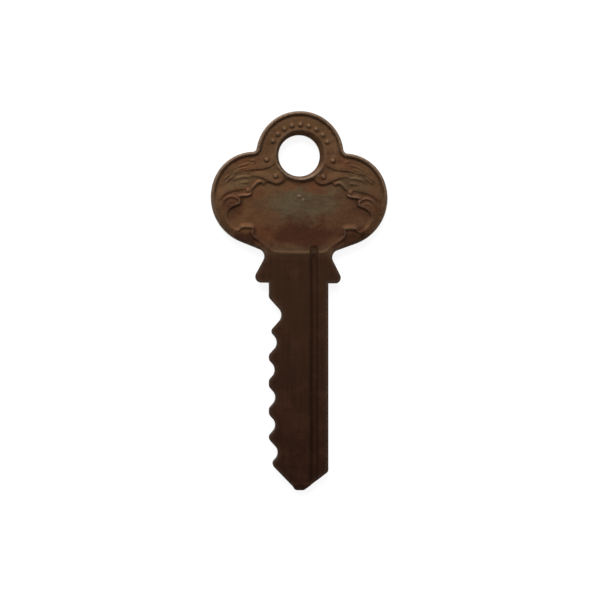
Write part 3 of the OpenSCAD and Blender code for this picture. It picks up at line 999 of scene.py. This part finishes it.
@dataclass
class KeyBody:
    """The whole key as one closed mesh."""

    bow: BowPlan
    blade: BladePlan
    relief: Relief
    # Spacing of the points
    outline_step: float = 0.12
    front_step: float = 0.09
    back_step: float = 0.135
    plate_step: float = 0.18
    blade_step: float = 0.22
    nick_step: float = 0.06
    side_rows: int = 5
    # How far in from an edge the rows of points lie, on the plate's wall as shares of the wall
    edge_rows: tuple[float, ...] = (0.03, 0.08, 0.15, 0.24)
    rim_rows: tuple[float, ...] = (0.32, 0.42, 0.52, 0.62, 0.72, 0.84, 0.96)
    bead_rows: tuple[float, ...] = (
        0.02, 0.06, 0.13, 0.22, 0.33, 0.45, 0.57, 0.68, 0.77, 0.84, 0.88, 0.93, 1.02)
    plate_rows: tuple[float, ...] = (-1.0, -0.5, 0.0, 0.5, 1.0, 2.0)
    groove_row_count: int = 7
    row_slack: float = 0.01
    # Least distance between the points of one set and those of the earlier ones
    edge_room: float = 0.022
    bead_room: float = 0.025
    groove_room: float = 0.03
    plate_room: float = 0.045
    # The same as a share of the set's own step
    row_share: float = 0.6
    fine_share: float = 0.7
    blade_share: float = 0.55
    # Where along the key the sets end
    rim_low: float = -10.0
    fine_low: float = -13.0
    plate_y: Span = (-14.2, -3.0)
    blade_high: float = -12.9
    # Wear, dirt, painted shade and painted highlight that the finish reads
    tone_rounds: int = 30
    tone_scale: float = 0.12
    edge_reach: float = 0.35
    bared: float = 0.14
    # The ring bead's lower crest is painted lighter: a painted highlight with some rub
    bead_highlight_and_rub: float = 0.8
    bead_highlight_and_rub_in: float = 0.12
    bead_highlight_and_rub_low: Span = (0.3, 0.95)
    groove_grime_and_shade: float = 0.6
    bow_grime_and_shade: float = 2.0
    bow_grime_and_shade_y: Span = (-14.6, -14.0)

    def outline(self) -> np.ndarray:
        """The key's whole outline: the bow's circles and then the blade's.

        Returns:
            Its points in the frame, anticlockwise.
        """
        stop = Turn(self.blade.spine_x, self.blade.top_y)
        left = self.bow.left_stop(self.blade.edge_x)
        turns = [self.bow.stop_corner(), *self.bow.turns(), *self.blade.turns(left, stop)]
        return thread(turns, self.outline_step)

    def hole(self) -> np.ndarray:
        """The ring hole's edge, a circle.

        Returns:
            Its points, clockwise, so that the metal lies on the loop's left.
        """
        count = math.ceil(TAU * self.bow.hole_r / self.outline_step)
        angle = -TAU * np.arange(count) / count
        return self.bow.hole_r * np.stack([np.cos(angle), np.sin(angle)], axis=1)

    def rows(self, loop: np.ndarray, offsets: tuple[float, ...]) -> np.ndarray:
        """Copies of a loop moved in by some distances.

        Each point moves along the loop's left-hand normal. The first copy, and every second one
        after it, starts from the middles of the loop's sides, so that the triangles between two
        rows are all alike. Points that end up nearer the loop than they should, in a tight
        corner, are left out.

        Args:
            loop: The closed loop.
            offsets: How far in each copy lies.

        Returns:
            The points of all copies.
        """
        following = np.roll(loop, -1, axis=0)
        starts = ((loop + following) / 2.0, loop)
        ahead = (following - loop, following - np.roll(loop, 1, axis=0))
        closed = np.vstack([loop, loop[:1]])
        kept = []
        for i, offset in enumerate(offsets):
            way = ahead[i % 2] / np.linalg.norm(ahead[i % 2], axis=1)[:, None]
            moved = starts[i % 2] + np.stack([-way[:, 1], way[:, 0]], axis=1) * offset
            far, _ = nearest(moved, closed)
            kept.append(moved[far > abs(offset) - self.row_slack])
        return np.vstack(kept)

    def groove_rows(self, side: Face) -> np.ndarray:
        """Straight rows of points down a groove's two walls, from their tops to the floor.

        Args:
            side: Which face.

        Returns:
            The points.
        """
        inward, width, _ = self.relief.groove_size(side)
        right = self.blade.spine_x - inward
        share = np.linspace(0.0, 1.0, self.groove_row_count) * self.relief.groove_wall
        x = np.concatenate([right - share, right - width + share])
        y = np.arange(self.relief.groove_top, self.blade.end_y, -self.blade_step)
        return np.stack(np.meshgrid(x, y), axis=-1).reshape(-1, 2)

    def point_sets(self, side: Face, outline: np.ndarray,
                   hole: np.ndarray) -> Iterator[tuple[np.ndarray, float]]:
        """The points inside a face, set by set, each with its least distance to earlier ones.

        First come rows along the rim, the ring bead, the groove, the plate's edge and the
        strokes, and then triangular grids: fine on the ornament, wider on the plate and widest
        on the blade.

        Args:
            side: Which face.
            outline: The outline's points.
            hole: The hole's points.

        Yields:
            A set of points, and the distance.
        """
        fine = self.front_step if side is Face.FRONT else self.back_step
        yield self.rows(outline, self.edge_rows), self.edge_room
        rim = self.rows(outline, self.rim_rows)
        yield rim[rim[:, 1] > self.rim_low], self.row_share * fine
        yield self.rows(hole, self.bead_rows), self.bead_room
        yield self.groove_rows(side), self.groove_room
        plate = self.relief.cartouche()
        wall = tuple(self.relief.plate_wall * share for share in self.plate_rows)
        yield self.bow.to_frame(self.rows(plate, wall)), self.plate_room
        for stroke in self.relief.ornament:
            if isinstance(stroke, Ridge):
                line = stroke.spine()
                both = np.vstack([line, line * (-1.0, 1.0)])
                yield self.bow.to_frame(both), self.row_share * fine
        for nick in self.relief.nicks:
            line = nick.spine()
            around = 2.0 * nick.left_width
            patch = hex_grid(line.min(axis=0) - around, line.max(axis=0) + around, self.nick_step)
            yield self.bow.to_frame(patch), self.row_share * self.nick_step
        (left, low), (right, high) = outline.min(axis=0), outline.max(axis=0)
        plate = self.bow.to_frame(plate)
        grid = hex_grid(np.array([left, self.fine_low]), np.array([right, high]), fine)
        grid = grid[inside(grid, outline) & ~inside(grid, plate)]
        yield grid[np.linalg.norm(grid, axis=1) > self.bow.hole_r], self.fine_share * fine
        bottom, top = self.plate_y
        grid = hex_grid(np.array([left, bottom]), np.array([right, top]), self.plate_step)
        yield grid[inside(grid, plate)], self.row_share * self.plate_step
        grid = hex_grid(np.array([left, low]), np.array([right, self.blade_high]), self.blade_step)
        grid = grid[inside(grid, outline) & ~inside(grid, plate)]
        yield grid, self.blade_share * self.blade_step

    def plan_points(self, side: Face, outline: np.ndarray, hole: np.ndarray) -> np.ndarray:
        """All points that a face's mesh passes through, in the plane.

        Each set leaves out what would crowd an earlier one.

        Args:
            side: Which face.
            outline: The outline's points.
            hole: The hole's points.

        Returns:
            The points, the outline's and the hole's first.
        """
        layers = [outline, hole]
        for points, room in self.point_sets(side, outline, hole):
            layers.append(clear_of(points, np.vstack(layers), room))
        return np.vstack(layers)

    def triangulate(self, plan: np.ndarray, rim: int, eye: int) -> tuple[np.ndarray, np.ndarray]:
        """Joins a face's points into triangles, with the outline and the hole as fixed edges.

        A triangle is left out where its middle lies within the hole.

        Args:
            plan: The points, the outline's first and then the hole's.
            rim: How many points the outline has.
            eye: How many points the hole has.

        Returns:
            The points, and the triangles, anticlockwise.
        """
        loops = [np.stack([first + np.arange(count), first + np.roll(np.arange(count), -1)], axis=1)
                 for first, count in ((0, rim), (rim, eye))]
        weld, moved, inside_only = 1e-6, 1e-5, 1
        found = delaunay_2d_cdt([Vector(p) for p in plan.tolist()], np.vstack(loops).tolist(), [],
                                inside_only, weld)
        flat, faces = np.array(found[0]), np.array(found[2])
        if not np.allclose(flat[:rim + eye], plan[:rim + eye], atol=moved):
            raise ValueError("the triangulation moved the outline's points")
        far = np.linalg.norm(flat[faces].mean(axis=1), axis=1)
        return flat, faces[far > self.bow.hole_r * math.cos(math.pi / eye)]

    def tone(self, height: np.ndarray, faces: np.ndarray) -> np.ndarray:
        """How far each point stands over or under its surroundings, from -1 to 1.

        The surroundings' level comes from replacing each height, again and again, by the mean of
        itself and its neighbours' mean. What is left over is the height less that level.

        Args:
            height: Height of each vertex in millimetres.
            faces: The triangles.

        Returns:
            One number for each vertex: 1 on a crest, -1 in a hollow.
        """
        ends = np.vstack([faces[:, (0, 1)], faces[:, (1, 2)], faces[:, (2, 0)]])
        count = np.maximum(np.bincount(ends[:, 0], minlength=len(height)), 1)
        level = height.copy()
        for _ in range(self.tone_rounds):
            around = np.bincount(ends[:, 0], level[ends[:, 1]], minlength=len(height)) / count
            level = (level + around) / 2.0
        return np.clip((height - level) / self.tone_scale, -1.0, 1.0)

    def groove_dirt_and_shade(self, points: np.ndarray, groove: np.ndarray, side: Face) -> np.ndarray:
        """What grime and painted shade in the groove take off the tone: most in the bow, and by its
        depth.

        Args:
            points: Places in the frame.
            groove: Depth of the groove at each place.
            side: Which face.

        Returns:
            One number for each place.
        """
        grime = self.groove_grime_and_shade * (1.0 + self.bow_grime_and_shade * ramp(points[:, 1], *self.bow_grime_and_shade_y))
        return grime * groove / self.relief.groove_size(side)[2]

    def rubbed_and_highlit(self, points: np.ndarray, gap: np.ndarray, side: Face) -> np.ndarray:
        """How far each place is rubbed bare and painted lighter as a highlight, from 0 to 1.

        Along the outer edge the rub and painted highlight fall off as e to the minus square of the
        distance over the reach. The ring bead's lower crest has the same as a painted highlight,
        and the burrs beside the nicks are rubbed by their height.

        Args:
            points: Places in the frame.
            gap: Distance of each place from the key's outline.
            side: Which face.

        Returns:
            One number for each place.
        """
        below = ramp(facing(points, (0.0, -1.0)), *self.bead_highlight_and_rub_low)
        from_crest = self.relief.crest(points)[1] + self.bead_highlight_and_rub_in
        edge = np.exp(-(gap / self.edge_reach) ** 2)
        bead = self.bead_highlight_and_rub * below * np.exp(-(from_crest / self.edge_reach) ** 2)
        edge = np.maximum(edge, bead)
        if side is Face.FRONT:
            upright = self.bow.from_frame(points)
            for nick in self.relief.nicks:
                edge = np.maximum(edge, nick.lift(upright) / self.bared)
        return edge

    def face_mesh(self, side: Face, outline: np.ndarray,
                  hole: np.ndarray) -> tuple[np.ndarray, np.ndarray, np.ndarray]:
        """One face as a triangulated height field.

        Args:
            side: Which face.
            outline: The outline's points.
            hole: The hole's points.

        Returns:
            Vertices with the outline's and the hole's first, their tone and their rub with painted
            highlight in two rows, and triangles that face outward.
        """
        plan = self.plan_points(side, outline, hole)
        flat, faces = self.triangulate(plan, len(outline), len(hole))
        gap, _ = nearest(flat, np.vstack([outline, outline[:1]]))
        height = self.relief.height(flat, gap, side)
        groove = self.relief.groove(flat, side)
        tone = self.tone(height, faces) - self.groove_dirt_and_shade(flat, groove, side)
        height = np.minimum(height, self.relief.face - groove) - self.relief.cut(flat, gap)
        if side is Face.BACK:
            faces = faces[:, ::-1]
        wear_and_light = np.stack([tone, self.rubbed_and_highlit(flat, gap, side)])
        return np.column_stack([flat, side.value * height]), wear_and_light, faces

    def wall(self, vertices: np.ndarray, top: np.ndarray,
             low: np.ndarray) -> tuple[np.ndarray, np.ndarray]:
        """The wall between the two faces along one loop.

        Row k lies the share k over the number of rows of the way from the front edge straight
        down to the back edge. Quads between the rows are split into triangles.

        Args:
            vertices: All vertices so far.
            top: Indices of the front edge's vertices in order.
            low: Indices of the back edge's vertices in the same order.

        Returns:
            The wall's own vertices, which come after those so far, and its triangles.
        """
        share = (np.arange(1, self.side_rows) / self.side_rows)[:, None, None]
        fresh = (vertices[top] * (1.0 - share) + vertices[low] * share).reshape(-1, 3)
        between = len(vertices) + np.arange(len(fresh)).reshape(-1, len(top))
        index = np.vstack([top, between, low])
        a, b = index[:-1], np.roll(index[:-1], -1, axis=1)
        c, d = index[1:], np.roll(index[1:], -1, axis=1)
        upper = np.stack([a, c, b], axis=-1).reshape(-1, 3)
        lower = np.stack([b, c, d], axis=-1).reshape(-1, 3)
        return fresh, np.vstack([upper, lower])

    def build(self) -> bpy.types.Object:
        """Joins the two faces and the walls into one closed object.

        Returns:
            The object, whose mesh carries the wear, the painted shade and the painted highlight as
            two attributes.
        """
        outline, hole = self.outline(), self.hole()
        front, front_wear_and_light, front_faces = self.face_mesh(Face.FRONT, outline, hole)
        back, back_wear_and_light, back_faces = self.face_mesh(Face.BACK, outline, hole)
        vertices = np.vstack([front, back])
        faces = [front_faces, back_faces + len(front)]
        wear_and_light = np.hstack([front_wear_and_light, back_wear_and_light])
        for first, count in ((0, len(outline)), (len(outline), len(hole))):
            top = first + np.arange(count)
            fresh, side_faces = self.wall(vertices, top, top + len(front))
            vertices = np.vstack([vertices, fresh])
            faces.append(side_faces)
            wear_and_light = np.hstack([wear_and_light, np.zeros((2, len(fresh)))])
        mesh = bpy.data.meshes.new("brass_key")
        mesh.from_pydata((vertices * MM).tolist(), [], np.vstack(faces).tolist())
        mesh.polygons.foreach_set("use_smooth", np.ones(len(mesh.polygons), bool))
        for name, values in zip(("tone", "edge"), wear_and_light.astype(np.float32)):
            mesh.attributes.new(name, "FLOAT", "POINT").data.foreach_set("value", values)
        mesh.update()
        key = bpy.data.objects.new("brass_key", mesh)
        bpy.context.scene.collection.objects.link(key)
        return key

    def dress(self, key: bpy.types.Object) -> None:
        """Gives the key its finish in a new material slot, ties it to its body, and hides the
        node's own part.

        Args:
            key: The key's object.
        """
        key.data.materials.append(AgedBrass().build())
        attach(key, BODY)
        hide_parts(NODE)


def linear(hex_colour: str) -> tuple[float, float, float, float]:
    """Turns an sRGB hex colour into the linear colour that shaders take.

    Args:
        hex_colour: A hash sign and six digits.

    Returns:
        Red, green, blue and an opacity of 1.
    """
    values = [int(hex_colour[i:i + 2], 16) / 255.0 for i in (1, 3, 5)]
    straight = [v / 12.92 if v <= 0.04045 else ((v + 0.055) / 1.055) ** 2.4 for v in values]
    return (straight[0], straight[1], straight[2], 1.0)


def add_node(material: bpy.types.Material | bpy.types.World, kind: str,
             links: dict[str | int, object] | None = None,
             **settings: str | bool) -> bpy.types.Node:
    """Adds one shader node.

    Args:
        material: Material or world that the node goes into.
        kind: The node's type name without its ShaderNode prefix.
        links: For each input, by name or number, an output socket to link or a value to set.
        settings: Properties of the node itself.

    Returns:
        The new node.
    """
    tree = material.node_tree
    node = tree.nodes.new("ShaderNode" + kind)
    for name, value in settings.items():
        setattr(node, name, value)
    for name, value in (links or {}).items():
        if isinstance(value, bpy.types.NodeSocket):
            tree.links.new(value, node.inputs[name])
        else:
            node.inputs[name].default_value = value
    return node


@dataclass(frozen=True)
class Wash:
    """A shade over the others: the mask's values where it starts and is full, and its share."""

    start: float
    full: float
    share: float
    colour: str


@dataclass(frozen=True)
class Patch:
    """A soft oval where one face has another shade: its middle and half sizes in millimetres."""

    colour: str
    x: float
    y: float
    half_x: float
    half_y: float
    strength: float
    side: Face = Face.FRONT


def brass_patches() -> tuple[Patch, ...]:
    """The shades that handling and the pocket have left on the two faces, and painted sheen and
    painted shade on the plate, under the tabs and beside the neck.

    Returns:
        The patches in the order in which they cover one another.
    """
    olive_and_sheen, rust_and_shade, ochre = "#5b4d37", "#462716", "#66462b"
    sienna, soot_and_shade, tan = "#633b24", "#3b1f0f", "#73543a"
    return (
        # Olive on the plate's upper middle: oxide with a painted sheen where the plate bulges
        # towards the lamp
        Patch(olive_and_sheen, 0.0, -7.0, 6.6, 3.1, 1.0),
        Patch(olive_and_sheen, 4.2, -5.8, 3.4, 2.6, 0.6),
        Patch(ochre, -7.9, -8.8, 3.4, 3.0, 0.9),
        # Rust red over the plate's lower part: oxide and painted shade where the plate turns away
        # from the lamp
        Patch(rust_and_shade, 0.1, -11.3, 8.6, 2.8, 1.0),
        Patch(rust_and_shade, 6.6, -9.0, 3.6, 3.4, 0.2),
        Patch(sienna, -5.4, -11.2, 2.6, 2.4, 0.6),
        Patch(rust_and_shade, -9.8, -6.6, 2.4, 2.2, 0.8),
        Patch(rust_and_shade, 9.9, -6.9, 2.6, 2.6, 0.5),
        # Near black under the bracket tabs and beside the neck: soot and painted shade in the low
        # places
        Patch(soot_and_shade, -7.9, -12.1, 2.9, 2.0, 0.95),
        Patch(soot_and_shade, 7.7, -12.1, 2.8, 1.9, 0.85),
        Patch(soot_and_shade, -5.1, -13.7, 1.9, 1.3, 0.45),
        Patch(soot_and_shade, 6.2, -13.3, 1.7, 1.2, 0.45),
        Patch(rust_and_shade, -1.8, -38.0, 2.2, 3.6, 0.4),
        Patch(olive_and_sheen, -8.6, -3.8, 2.6, 2.2, 0.35),
        Patch(olive_and_sheen, 7.8, -3.8, 3.0, 2.2, 0.45),
        Patch(soot_and_shade, 9.3, -4.2, 2.4, 1.8, 0.25),
        Patch(sienna, -7.4, -1.0, 3.0, 1.5, 0.5),
        Patch(sienna, 6.6, -1.0, 2.8, 1.5, 0.5),
        Patch(sienna, -7.6, -5.4, 3.4, 1.7, 0.5),
        Patch(rust_and_shade, 7.4, -5.9, 2.8, 1.7, 0.3),
        Patch(tan, 4.8, 1.2, 1.3, 2.5, 0.75),
        Patch(sienna, 1.2, -4.1, 6.2, 1.8, 0.55),
        Patch(olive_and_sheen, 1.5, -8.8, 6.2, 4.0, 0.9, Face.BACK),
        Patch(rust_and_shade, -4.5, -4.0, 5.0, 3.2, 0.7, Face.BACK),
        Patch(ochre, 7.0, -6.0, 3.6, 3.6, 0.6, Face.BACK),
    )


@dataclass(frozen=True)
class AgedBrass:
    """Struck brass under a thin brown oxide.

    The eye sees a dull brown metal that goes olive and rust red in places, rubbed lighter on its
    crests and edges, nearly black brown in its hollows, and darker and smoother on the blade. Part
    of the olive is a painted sheen, part of the lighter crests and edges a painted highlight, and
    part of the dark in the hollows, on the lower plate, under the tabs, on the neck and on the
    blade is painted shade.
    """

    bow: str = "#62462d"
    # Along the key: the lower bow, the plate's sill, the neck, and on down to the tip, each darker
    # by browner oxide and by painted shade
    zones: tuple[Wash, ...] = (
        Wash(-3.0, -11.0, 1.0, "#5f412a"), Wash(-12.6, -13.5, 1.0, "#523d29"),
        Wash(-13.95, -14.5, 1.0, "#3c2515"), Wash(-18.0, -48.0, 1.0, "#30190c"))
    patches: tuple[Patch, ...] = field(default_factory=brass_patches)
    patch_full: float = 0.6
    patch_deep: float = 2.0
    half_strip: float = 1.1
    wander: tuple[float, float, float] = (1.2, 1.2, 0.0)
    red_bloom: Wash = Wash(0.05, 0.6, 0.35, "#4d2f20")
    specks: Wash = Wash(0.52, 0.75, 0.35, "#2d160a")
    # Near black brown in the hollows and the groove: dark oxide and painted shade
    hollow_oxide_and_shade: Wash = Wash(-0.15, -1.0, 0.5, "#2d160a")
    # Lighter on crests and edges: bare brass and a painted highlight
    rubbed_and_highlit: Wash = Wash(0.0, 1.0, 1.0, "#9e8b7a")
    # Tone of a crest that is rubbed and painted lighter, and how much of the rub and painted
    # highlight is left from the blade to the bow
    crest_tone: Span = (0.2, 1.0)
    crest_share: float = 0.5
    rub_and_highlight_y: Span = (-15.0, -3.0)
    blade_share: float = 0.18
    # Draw lines on the blade take the grain's place, and both lighten and darken the shade
    drawn_y: Span = (-14.0, -15.0)
    drawn_share: float = 0.7
    mottle_noise: Span = (0.2, 0.8)
    mottle: Span = (0.72, 1.28)
    metallic: float = 0.85
    rough_noise: Span = (0.25, 0.75)
    rough: Span = (0.52, 0.66)
    bump: float = 0.6
    bump_height: float = 0.02
    # Pattern sizes in millimetres, and where a pattern is drawn out, its repeats per millimetre
    grain_size: float = 0.35
    drift_size: float = 2.5
    draw_lines: tuple[float, float, float] = (3.3, 0.12, 3.3)
    smears: tuple[float, float, float] = (0.5, 1.6, 1.0)

    def build(self) -> bpy.types.Material:
        """Makes the material.

        Returns:
            The material, whose colour, roughness and bump come from the place on the key.
        """
        material = bpy.data.materials.new("patinated_brass")
        material.use_nodes = True
        material.node_tree.nodes.clear()
        source = add_node(material, "TexCoord")
        place = add_node(material, "Mapping", {
            "Vector": source.outputs["Object"], "Scale": (1.0 / MM,) * 3})
        grain = add_node(material, "TexNoise", {
            "Vector": place.outputs[0], "Scale": 1.0 / self.grain_size, "Detail": 2.0,
            "Roughness": 0.6})
        # Draw lines are hundredths of a millimetre wide. They are drawn 0.3 mm wide, 8 mm long.
        stretch = add_node(material, "Mapping", {
            "Vector": place.outputs[0], "Scale": self.draw_lines})
        lines = add_node(material, "TexNoise", {
            "Vector": stretch.outputs[0], "Scale": 1.0, "Detail": 2.0})
        colour = self.mottled(material, self.colour(material, place, grain), place, grain, lines)
        rough = add_node(material, "MapRange", {
            0: grain.outputs[0], 1: self.rough_noise[0], 2: self.rough_noise[1],
            3: self.rough[0], 4: self.rough[1]})
        relief = add_node(material, "Math", {0: grain.outputs[0], 1: lines.outputs[0]},
                          operation="ADD")
        bump = add_node(material, "Bump", {
            "Height": relief.outputs[0], "Strength": self.bump, "Distance": self.bump_height * MM})
        shader = add_node(material, "BsdfPrincipled", {
            "Base Color": colour, "Metallic": self.metallic, "Roughness": rough.outputs[0],
            "Normal": bump.outputs[0]})
        add_node(material, "OutputMaterial", {"Surface": shader.outputs["BSDF"]})
        return material

    def colour(self, material: bpy.types.Material, place: bpy.types.Node,
               grain: bpy.types.Node) -> bpy.types.NodeSocket:
        """Lays the washes over one another: zones, patches, bloom, specks, hollows with painted
        shade, and rub with painted highlight.

        Each wash has a mask, a socket whose value is mapped to the wash's share. The masks of
        zones and patches fade smoothly, and those of the wear in a straight line.

        Args:
            material: Where the nodes go.
            place: Node whose output is the place in millimetres.
            grain: Noise of the size of the coined surface's grain.

        Returns:
            The socket with the shade.
        """
        along = add_node(material, "SeparateXYZ", {0: place.outputs[0]})
        drift = add_node(material, "TexNoise", {
            "Vector": place.outputs[0], "Scale": 1.0 / self.drift_size, "Detail": 3.0},
            normalize=False)
        astray = add_node(material, "VectorMath", {
            0: drift.outputs[1], 1: self.wander, 2: place.outputs[0]}, operation="MULTIPLY_ADD")
        masks = [(along.outputs[1], zone, "SMOOTHSTEP") for zone in self.zones]
        for patch in self.patches:
            oval = add_node(material, "Mapping", {
                "Vector": astray.outputs[0],
                "Location": (patch.x, patch.y, patch.side.value * self.half_strip),
                "Scale": (patch.half_x, patch.half_y, self.patch_deep)}, vector_type="TEXTURE")
            inner = add_node(material, "TexGradient", {"Vector": oval.outputs[0]},
                             gradient_type="SPHERICAL")
            wash = Wash(0.0, self.patch_full, patch.strength, patch.colour)
            masks.append((inner.outputs[1], wash, "SMOOTHSTEP"))
        # Dirt rubbed across the key lies in specks 2 mm long and 0.6 mm high
        smear = add_node(material, "Mapping", {"Vector": place.outputs[0], "Scale": self.smears})
        clot = add_node(material, "TexNoise", {
            "Vector": smear.outputs[0], "Scale": 1.0, "Detail": 3.0})
        tone = add_node(material, "Attribute", attribute_name="tone")
        masks += [(drift.outputs[0], self.red_bloom, "LINEAR"),
                  (clot.outputs[0], self.specks, "LINEAR"),
                  (tone.outputs["Fac"], self.hollow_oxide_and_shade, "LINEAR"),
                  (self.worn(material, tone, along, grain), self.rubbed_and_highlit, "LINEAR")]
        shade = linear(self.bow)
        # A Mix node takes two colours at its inputs 6 and 7, and two numbers at 2 and 3
        for mask, wash, fade in masks:
            share = add_node(material, "MapRange", {
                0: mask, 1: wash.start, 2: wash.full, 3: 0.0, 4: wash.share},
                interpolation_type=fade)
            mixed = add_node(material, "Mix", {
                0: share.outputs[0], 6: shade, 7: linear(wash.colour)}, data_type="RGBA")
            shade = mixed.outputs[2]
        return shade

    def worn(self, material: bpy.types.Material, tone: bpy.types.Node, along: bpy.types.Node,
             grain: bpy.types.Node) -> bpy.types.NodeSocket:
        """Mask of the rubbed places with their painted highlight: crests and edges, broken up by
        the grain.

        Args:
            material: Where the nodes go.
            tone: Node that reads how far the surface stands over its surroundings.
            along: Node whose second output is the place along the key in millimetres.
            grain: Noise of the size of the coined surface's grain.

        Returns:
            The socket with the mask.
        """
        edge = add_node(material, "Attribute", attribute_name="edge")
        crest = add_node(material, "MapRange", {
            0: tone.outputs["Fac"], 1: self.crest_tone[0], 2: self.crest_tone[1],
            3: 0.0, 4: self.crest_share})
        high = add_node(material, "MapRange", {
            0: along.outputs[1], 1: self.rub_and_highlight_y[0], 2: self.rub_and_highlight_y[1], 3: self.blade_share, 4: 1.0})
        rim = add_node(material, "Math", {0: edge.outputs["Fac"], 1: high.outputs[0]},
                       operation="MULTIPLY")
        both = add_node(material, "Math", {0: crest.outputs[0], 1: rim.outputs[0]},
                        operation="MAXIMUM")
        broken = add_node(material, "Math", {0: both.outputs[0], 1: grain.outputs[0]},
                          operation="MULTIPLY")
        return broken.outputs[0]

    def mottled(self, material: bpy.types.Material, shade: bpy.types.NodeSocket,
                place: bpy.types.Node, grain: bpy.types.Node,
                lines: bpy.types.Node) -> bpy.types.NodeSocket:
        """Lightens and darkens a shade by the grain on the bow, and on the blade by draw lines.

        Args:
            material: Where the nodes go.
            shade: The socket with the shade.
            place: Node whose output is the place in millimetres.
            grain: Noise of the size of the coined surface's grain.
            lines: Noise drawn out along the blade.

        Returns:
            The socket with the finished colour.
        """
        along = add_node(material, "SeparateXYZ", {0: place.outputs[0]})
        drawn = add_node(material, "MapRange", {
            0: along.outputs[1], 1: self.drawn_y[0], 2: self.drawn_y[1],
            3: 0.0, 4: self.drawn_share})
        speck = add_node(material, "Mix", {
            0: drawn.outputs[0], 2: grain.outputs[0], 3: lines.outputs[0]})
        level = add_node(material, "MapRange", {
            0: speck.outputs[0], 1: self.mottle_noise[0], 2: self.mottle_noise[1],
            3: self.mottle[0], 4: self.mottle[1]})
        tinted = add_node(material, "VectorMath", {0: shade, "Scale": level.outputs[0]},
                          operation="SCALE")
        return tinted.outputs[0]


@dataclass(frozen=True)
class TableTop:
    """Matt white table: it shows white to the camera and keeps the key's soft shadow."""

    colour: str = "#8c8c8c"
    glow: float = 0.88

    def build(self) -> bpy.types.Material:
        """Makes the material.

        Returns:
            The material, which glows for the camera, for gloss and through glass alone.
        """
        material = bpy.data.materials.new("matt_white_table")
        material.use_nodes = True
        material.node_tree.nodes.clear()
        path = add_node(material, "LightPath")
        seen = path.outputs["Is Camera Ray"]
        for ray in ("Is Glossy Ray", "Is Transmission Ray"):
            either = add_node(material, "Math", {0: seen, 1: path.outputs[ray]},
                              operation="MAXIMUM")
            seen = either.outputs[0]
        level = add_node(material, "Math", {0: seen, 1: self.glow}, operation="MULTIPLY")
        matt = add_node(material, "BsdfDiffuse", {"Color": linear(self.colour)})
        glow = add_node(material, "Emission", {"Strength": level.outputs[0]})
        both = add_node(material, "AddShader", {0: matt.outputs[0], 1: glow.outputs[0]})
        add_node(material, "OutputMaterial", {"Surface": both.outputs[0]})
        return material


@dataclass
class Studio:
    """Table, lamps, world and camera."""

    face: float
    half_table: float = 4000.0
    table_gap: float = 0.02
    # What the camera looks at, how much it takes in, from how far, and its lean sideways
    view_x: float = 0.08
    view_y: float = -20.8
    view_w: float = 86.28
    distance: float = 300.0
    lean: float = -0.05
    sensor: float = 36.0
    near_clip: float = 10.0
    # The lamp's direction, strength and width, and the world's strength on its near and far side
    sun_from: tuple[float, float, float] = (-0.2, 0.9, 1.0)
    sun_strength: float = 2.05
    sun_size: float = 40.0
    world_y: Span = (-0.7, 0.7)
    world_strength: Span = (0.1, 0.72)

    def table(self) -> None:
        """A large flat table under the key's back face."""
        s, z = self.half_table * MM, -(self.face + self.table_gap) * MM
        mesh = bpy.data.meshes.new("table")
        mesh.from_pydata([(-s, -s, z), (s, -s, z), (s, s, z), (-s, s, z)], [], [(0, 1, 2, 3)])
        table = bpy.data.objects.new("table", mesh)
        bpy.context.scene.collection.objects.link(table)
        table.data.materials.append(TableTop().build())

    def lights(self) -> None:
        """One soft lamp from beyond the bow, and a pale world that is darker on the near side."""
        lamp = bpy.data.lights.new("window_light", "SUN")
        lamp.energy = self.sun_strength
        lamp.angle = math.radians(self.sun_size)
        sun = bpy.data.objects.new("window_light", lamp)
        sun.rotation_euler = Vector(self.sun_from).to_track_quat("Z", "Y").to_euler()
        bpy.context.scene.collection.objects.link(sun)
        world = bpy.data.worlds.new("pale_room")
        world.use_nodes = True
        world.node_tree.nodes.clear()
        ahead = add_node(world, "TexCoord")
        part = add_node(world, "SeparateXYZ", {0: ahead.outputs["Generated"]})
        level = add_node(world, "MapRange", {
            0: part.outputs[1], 1: self.world_y[0], 2: self.world_y[1],
            3: self.world_strength[0], 4: self.world_strength[1]})
        sky = add_node(world, "Background", {
            "Color": linear("#ffffff"), "Strength": level.outputs[0]})
        add_node(world, "OutputWorld", {"Surface": sky.outputs[0]})
        bpy.context.scene.world = world

    def camera(self) -> None:
        """A long-lens camera nearly straight above, from a little to the key's left."""
        target = Vector((self.view_x, self.view_y, self.face)) * MM
        back = Vector((self.lean, 0.0, 1.0)).normalized()
        data = bpy.data.cameras.new("camera")
        data.sensor_width = self.sensor
        data.lens = data.sensor_width * self.distance / self.view_w
        data.clip_start = self.near_clip * MM
        camera = bpy.data.objects.new("camera", data)
        camera.location = target + back * self.distance * MM
        across = Vector((0.0, 1.0, 0.0)).cross(back).normalized()
        upward = back.cross(across)
        camera.rotation_euler = Matrix((across, upward, back)).transposed().to_euler()
        bpy.context.scene.collection.objects.link(camera)
        bpy.context.scene.camera = camera


def main() -> None:
    """Builds the key, dresses it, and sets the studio."""
    logging.basicConfig(level=logging.INFO)
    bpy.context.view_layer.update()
    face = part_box(NODE)[1].z / MM
    bow, blade = BowPlan(), BladePlan()
    body = KeyBody(bow, blade, Relief(bow, blade, face))
    key = body.build()
    body.dress(key)
    LOG.info("%s: %d triangles on body %s", key.name, len(key.data.polygons), BODY)
    studio = Studio(face)
    studio.table()
    studio.lights()
    studio.camera()
    LOG.info("studio: table, window light, pale room and camera")
    bpy.context.scene.view_settings.view_transform = "Standard"


if __name__ == "__main__":
    main()
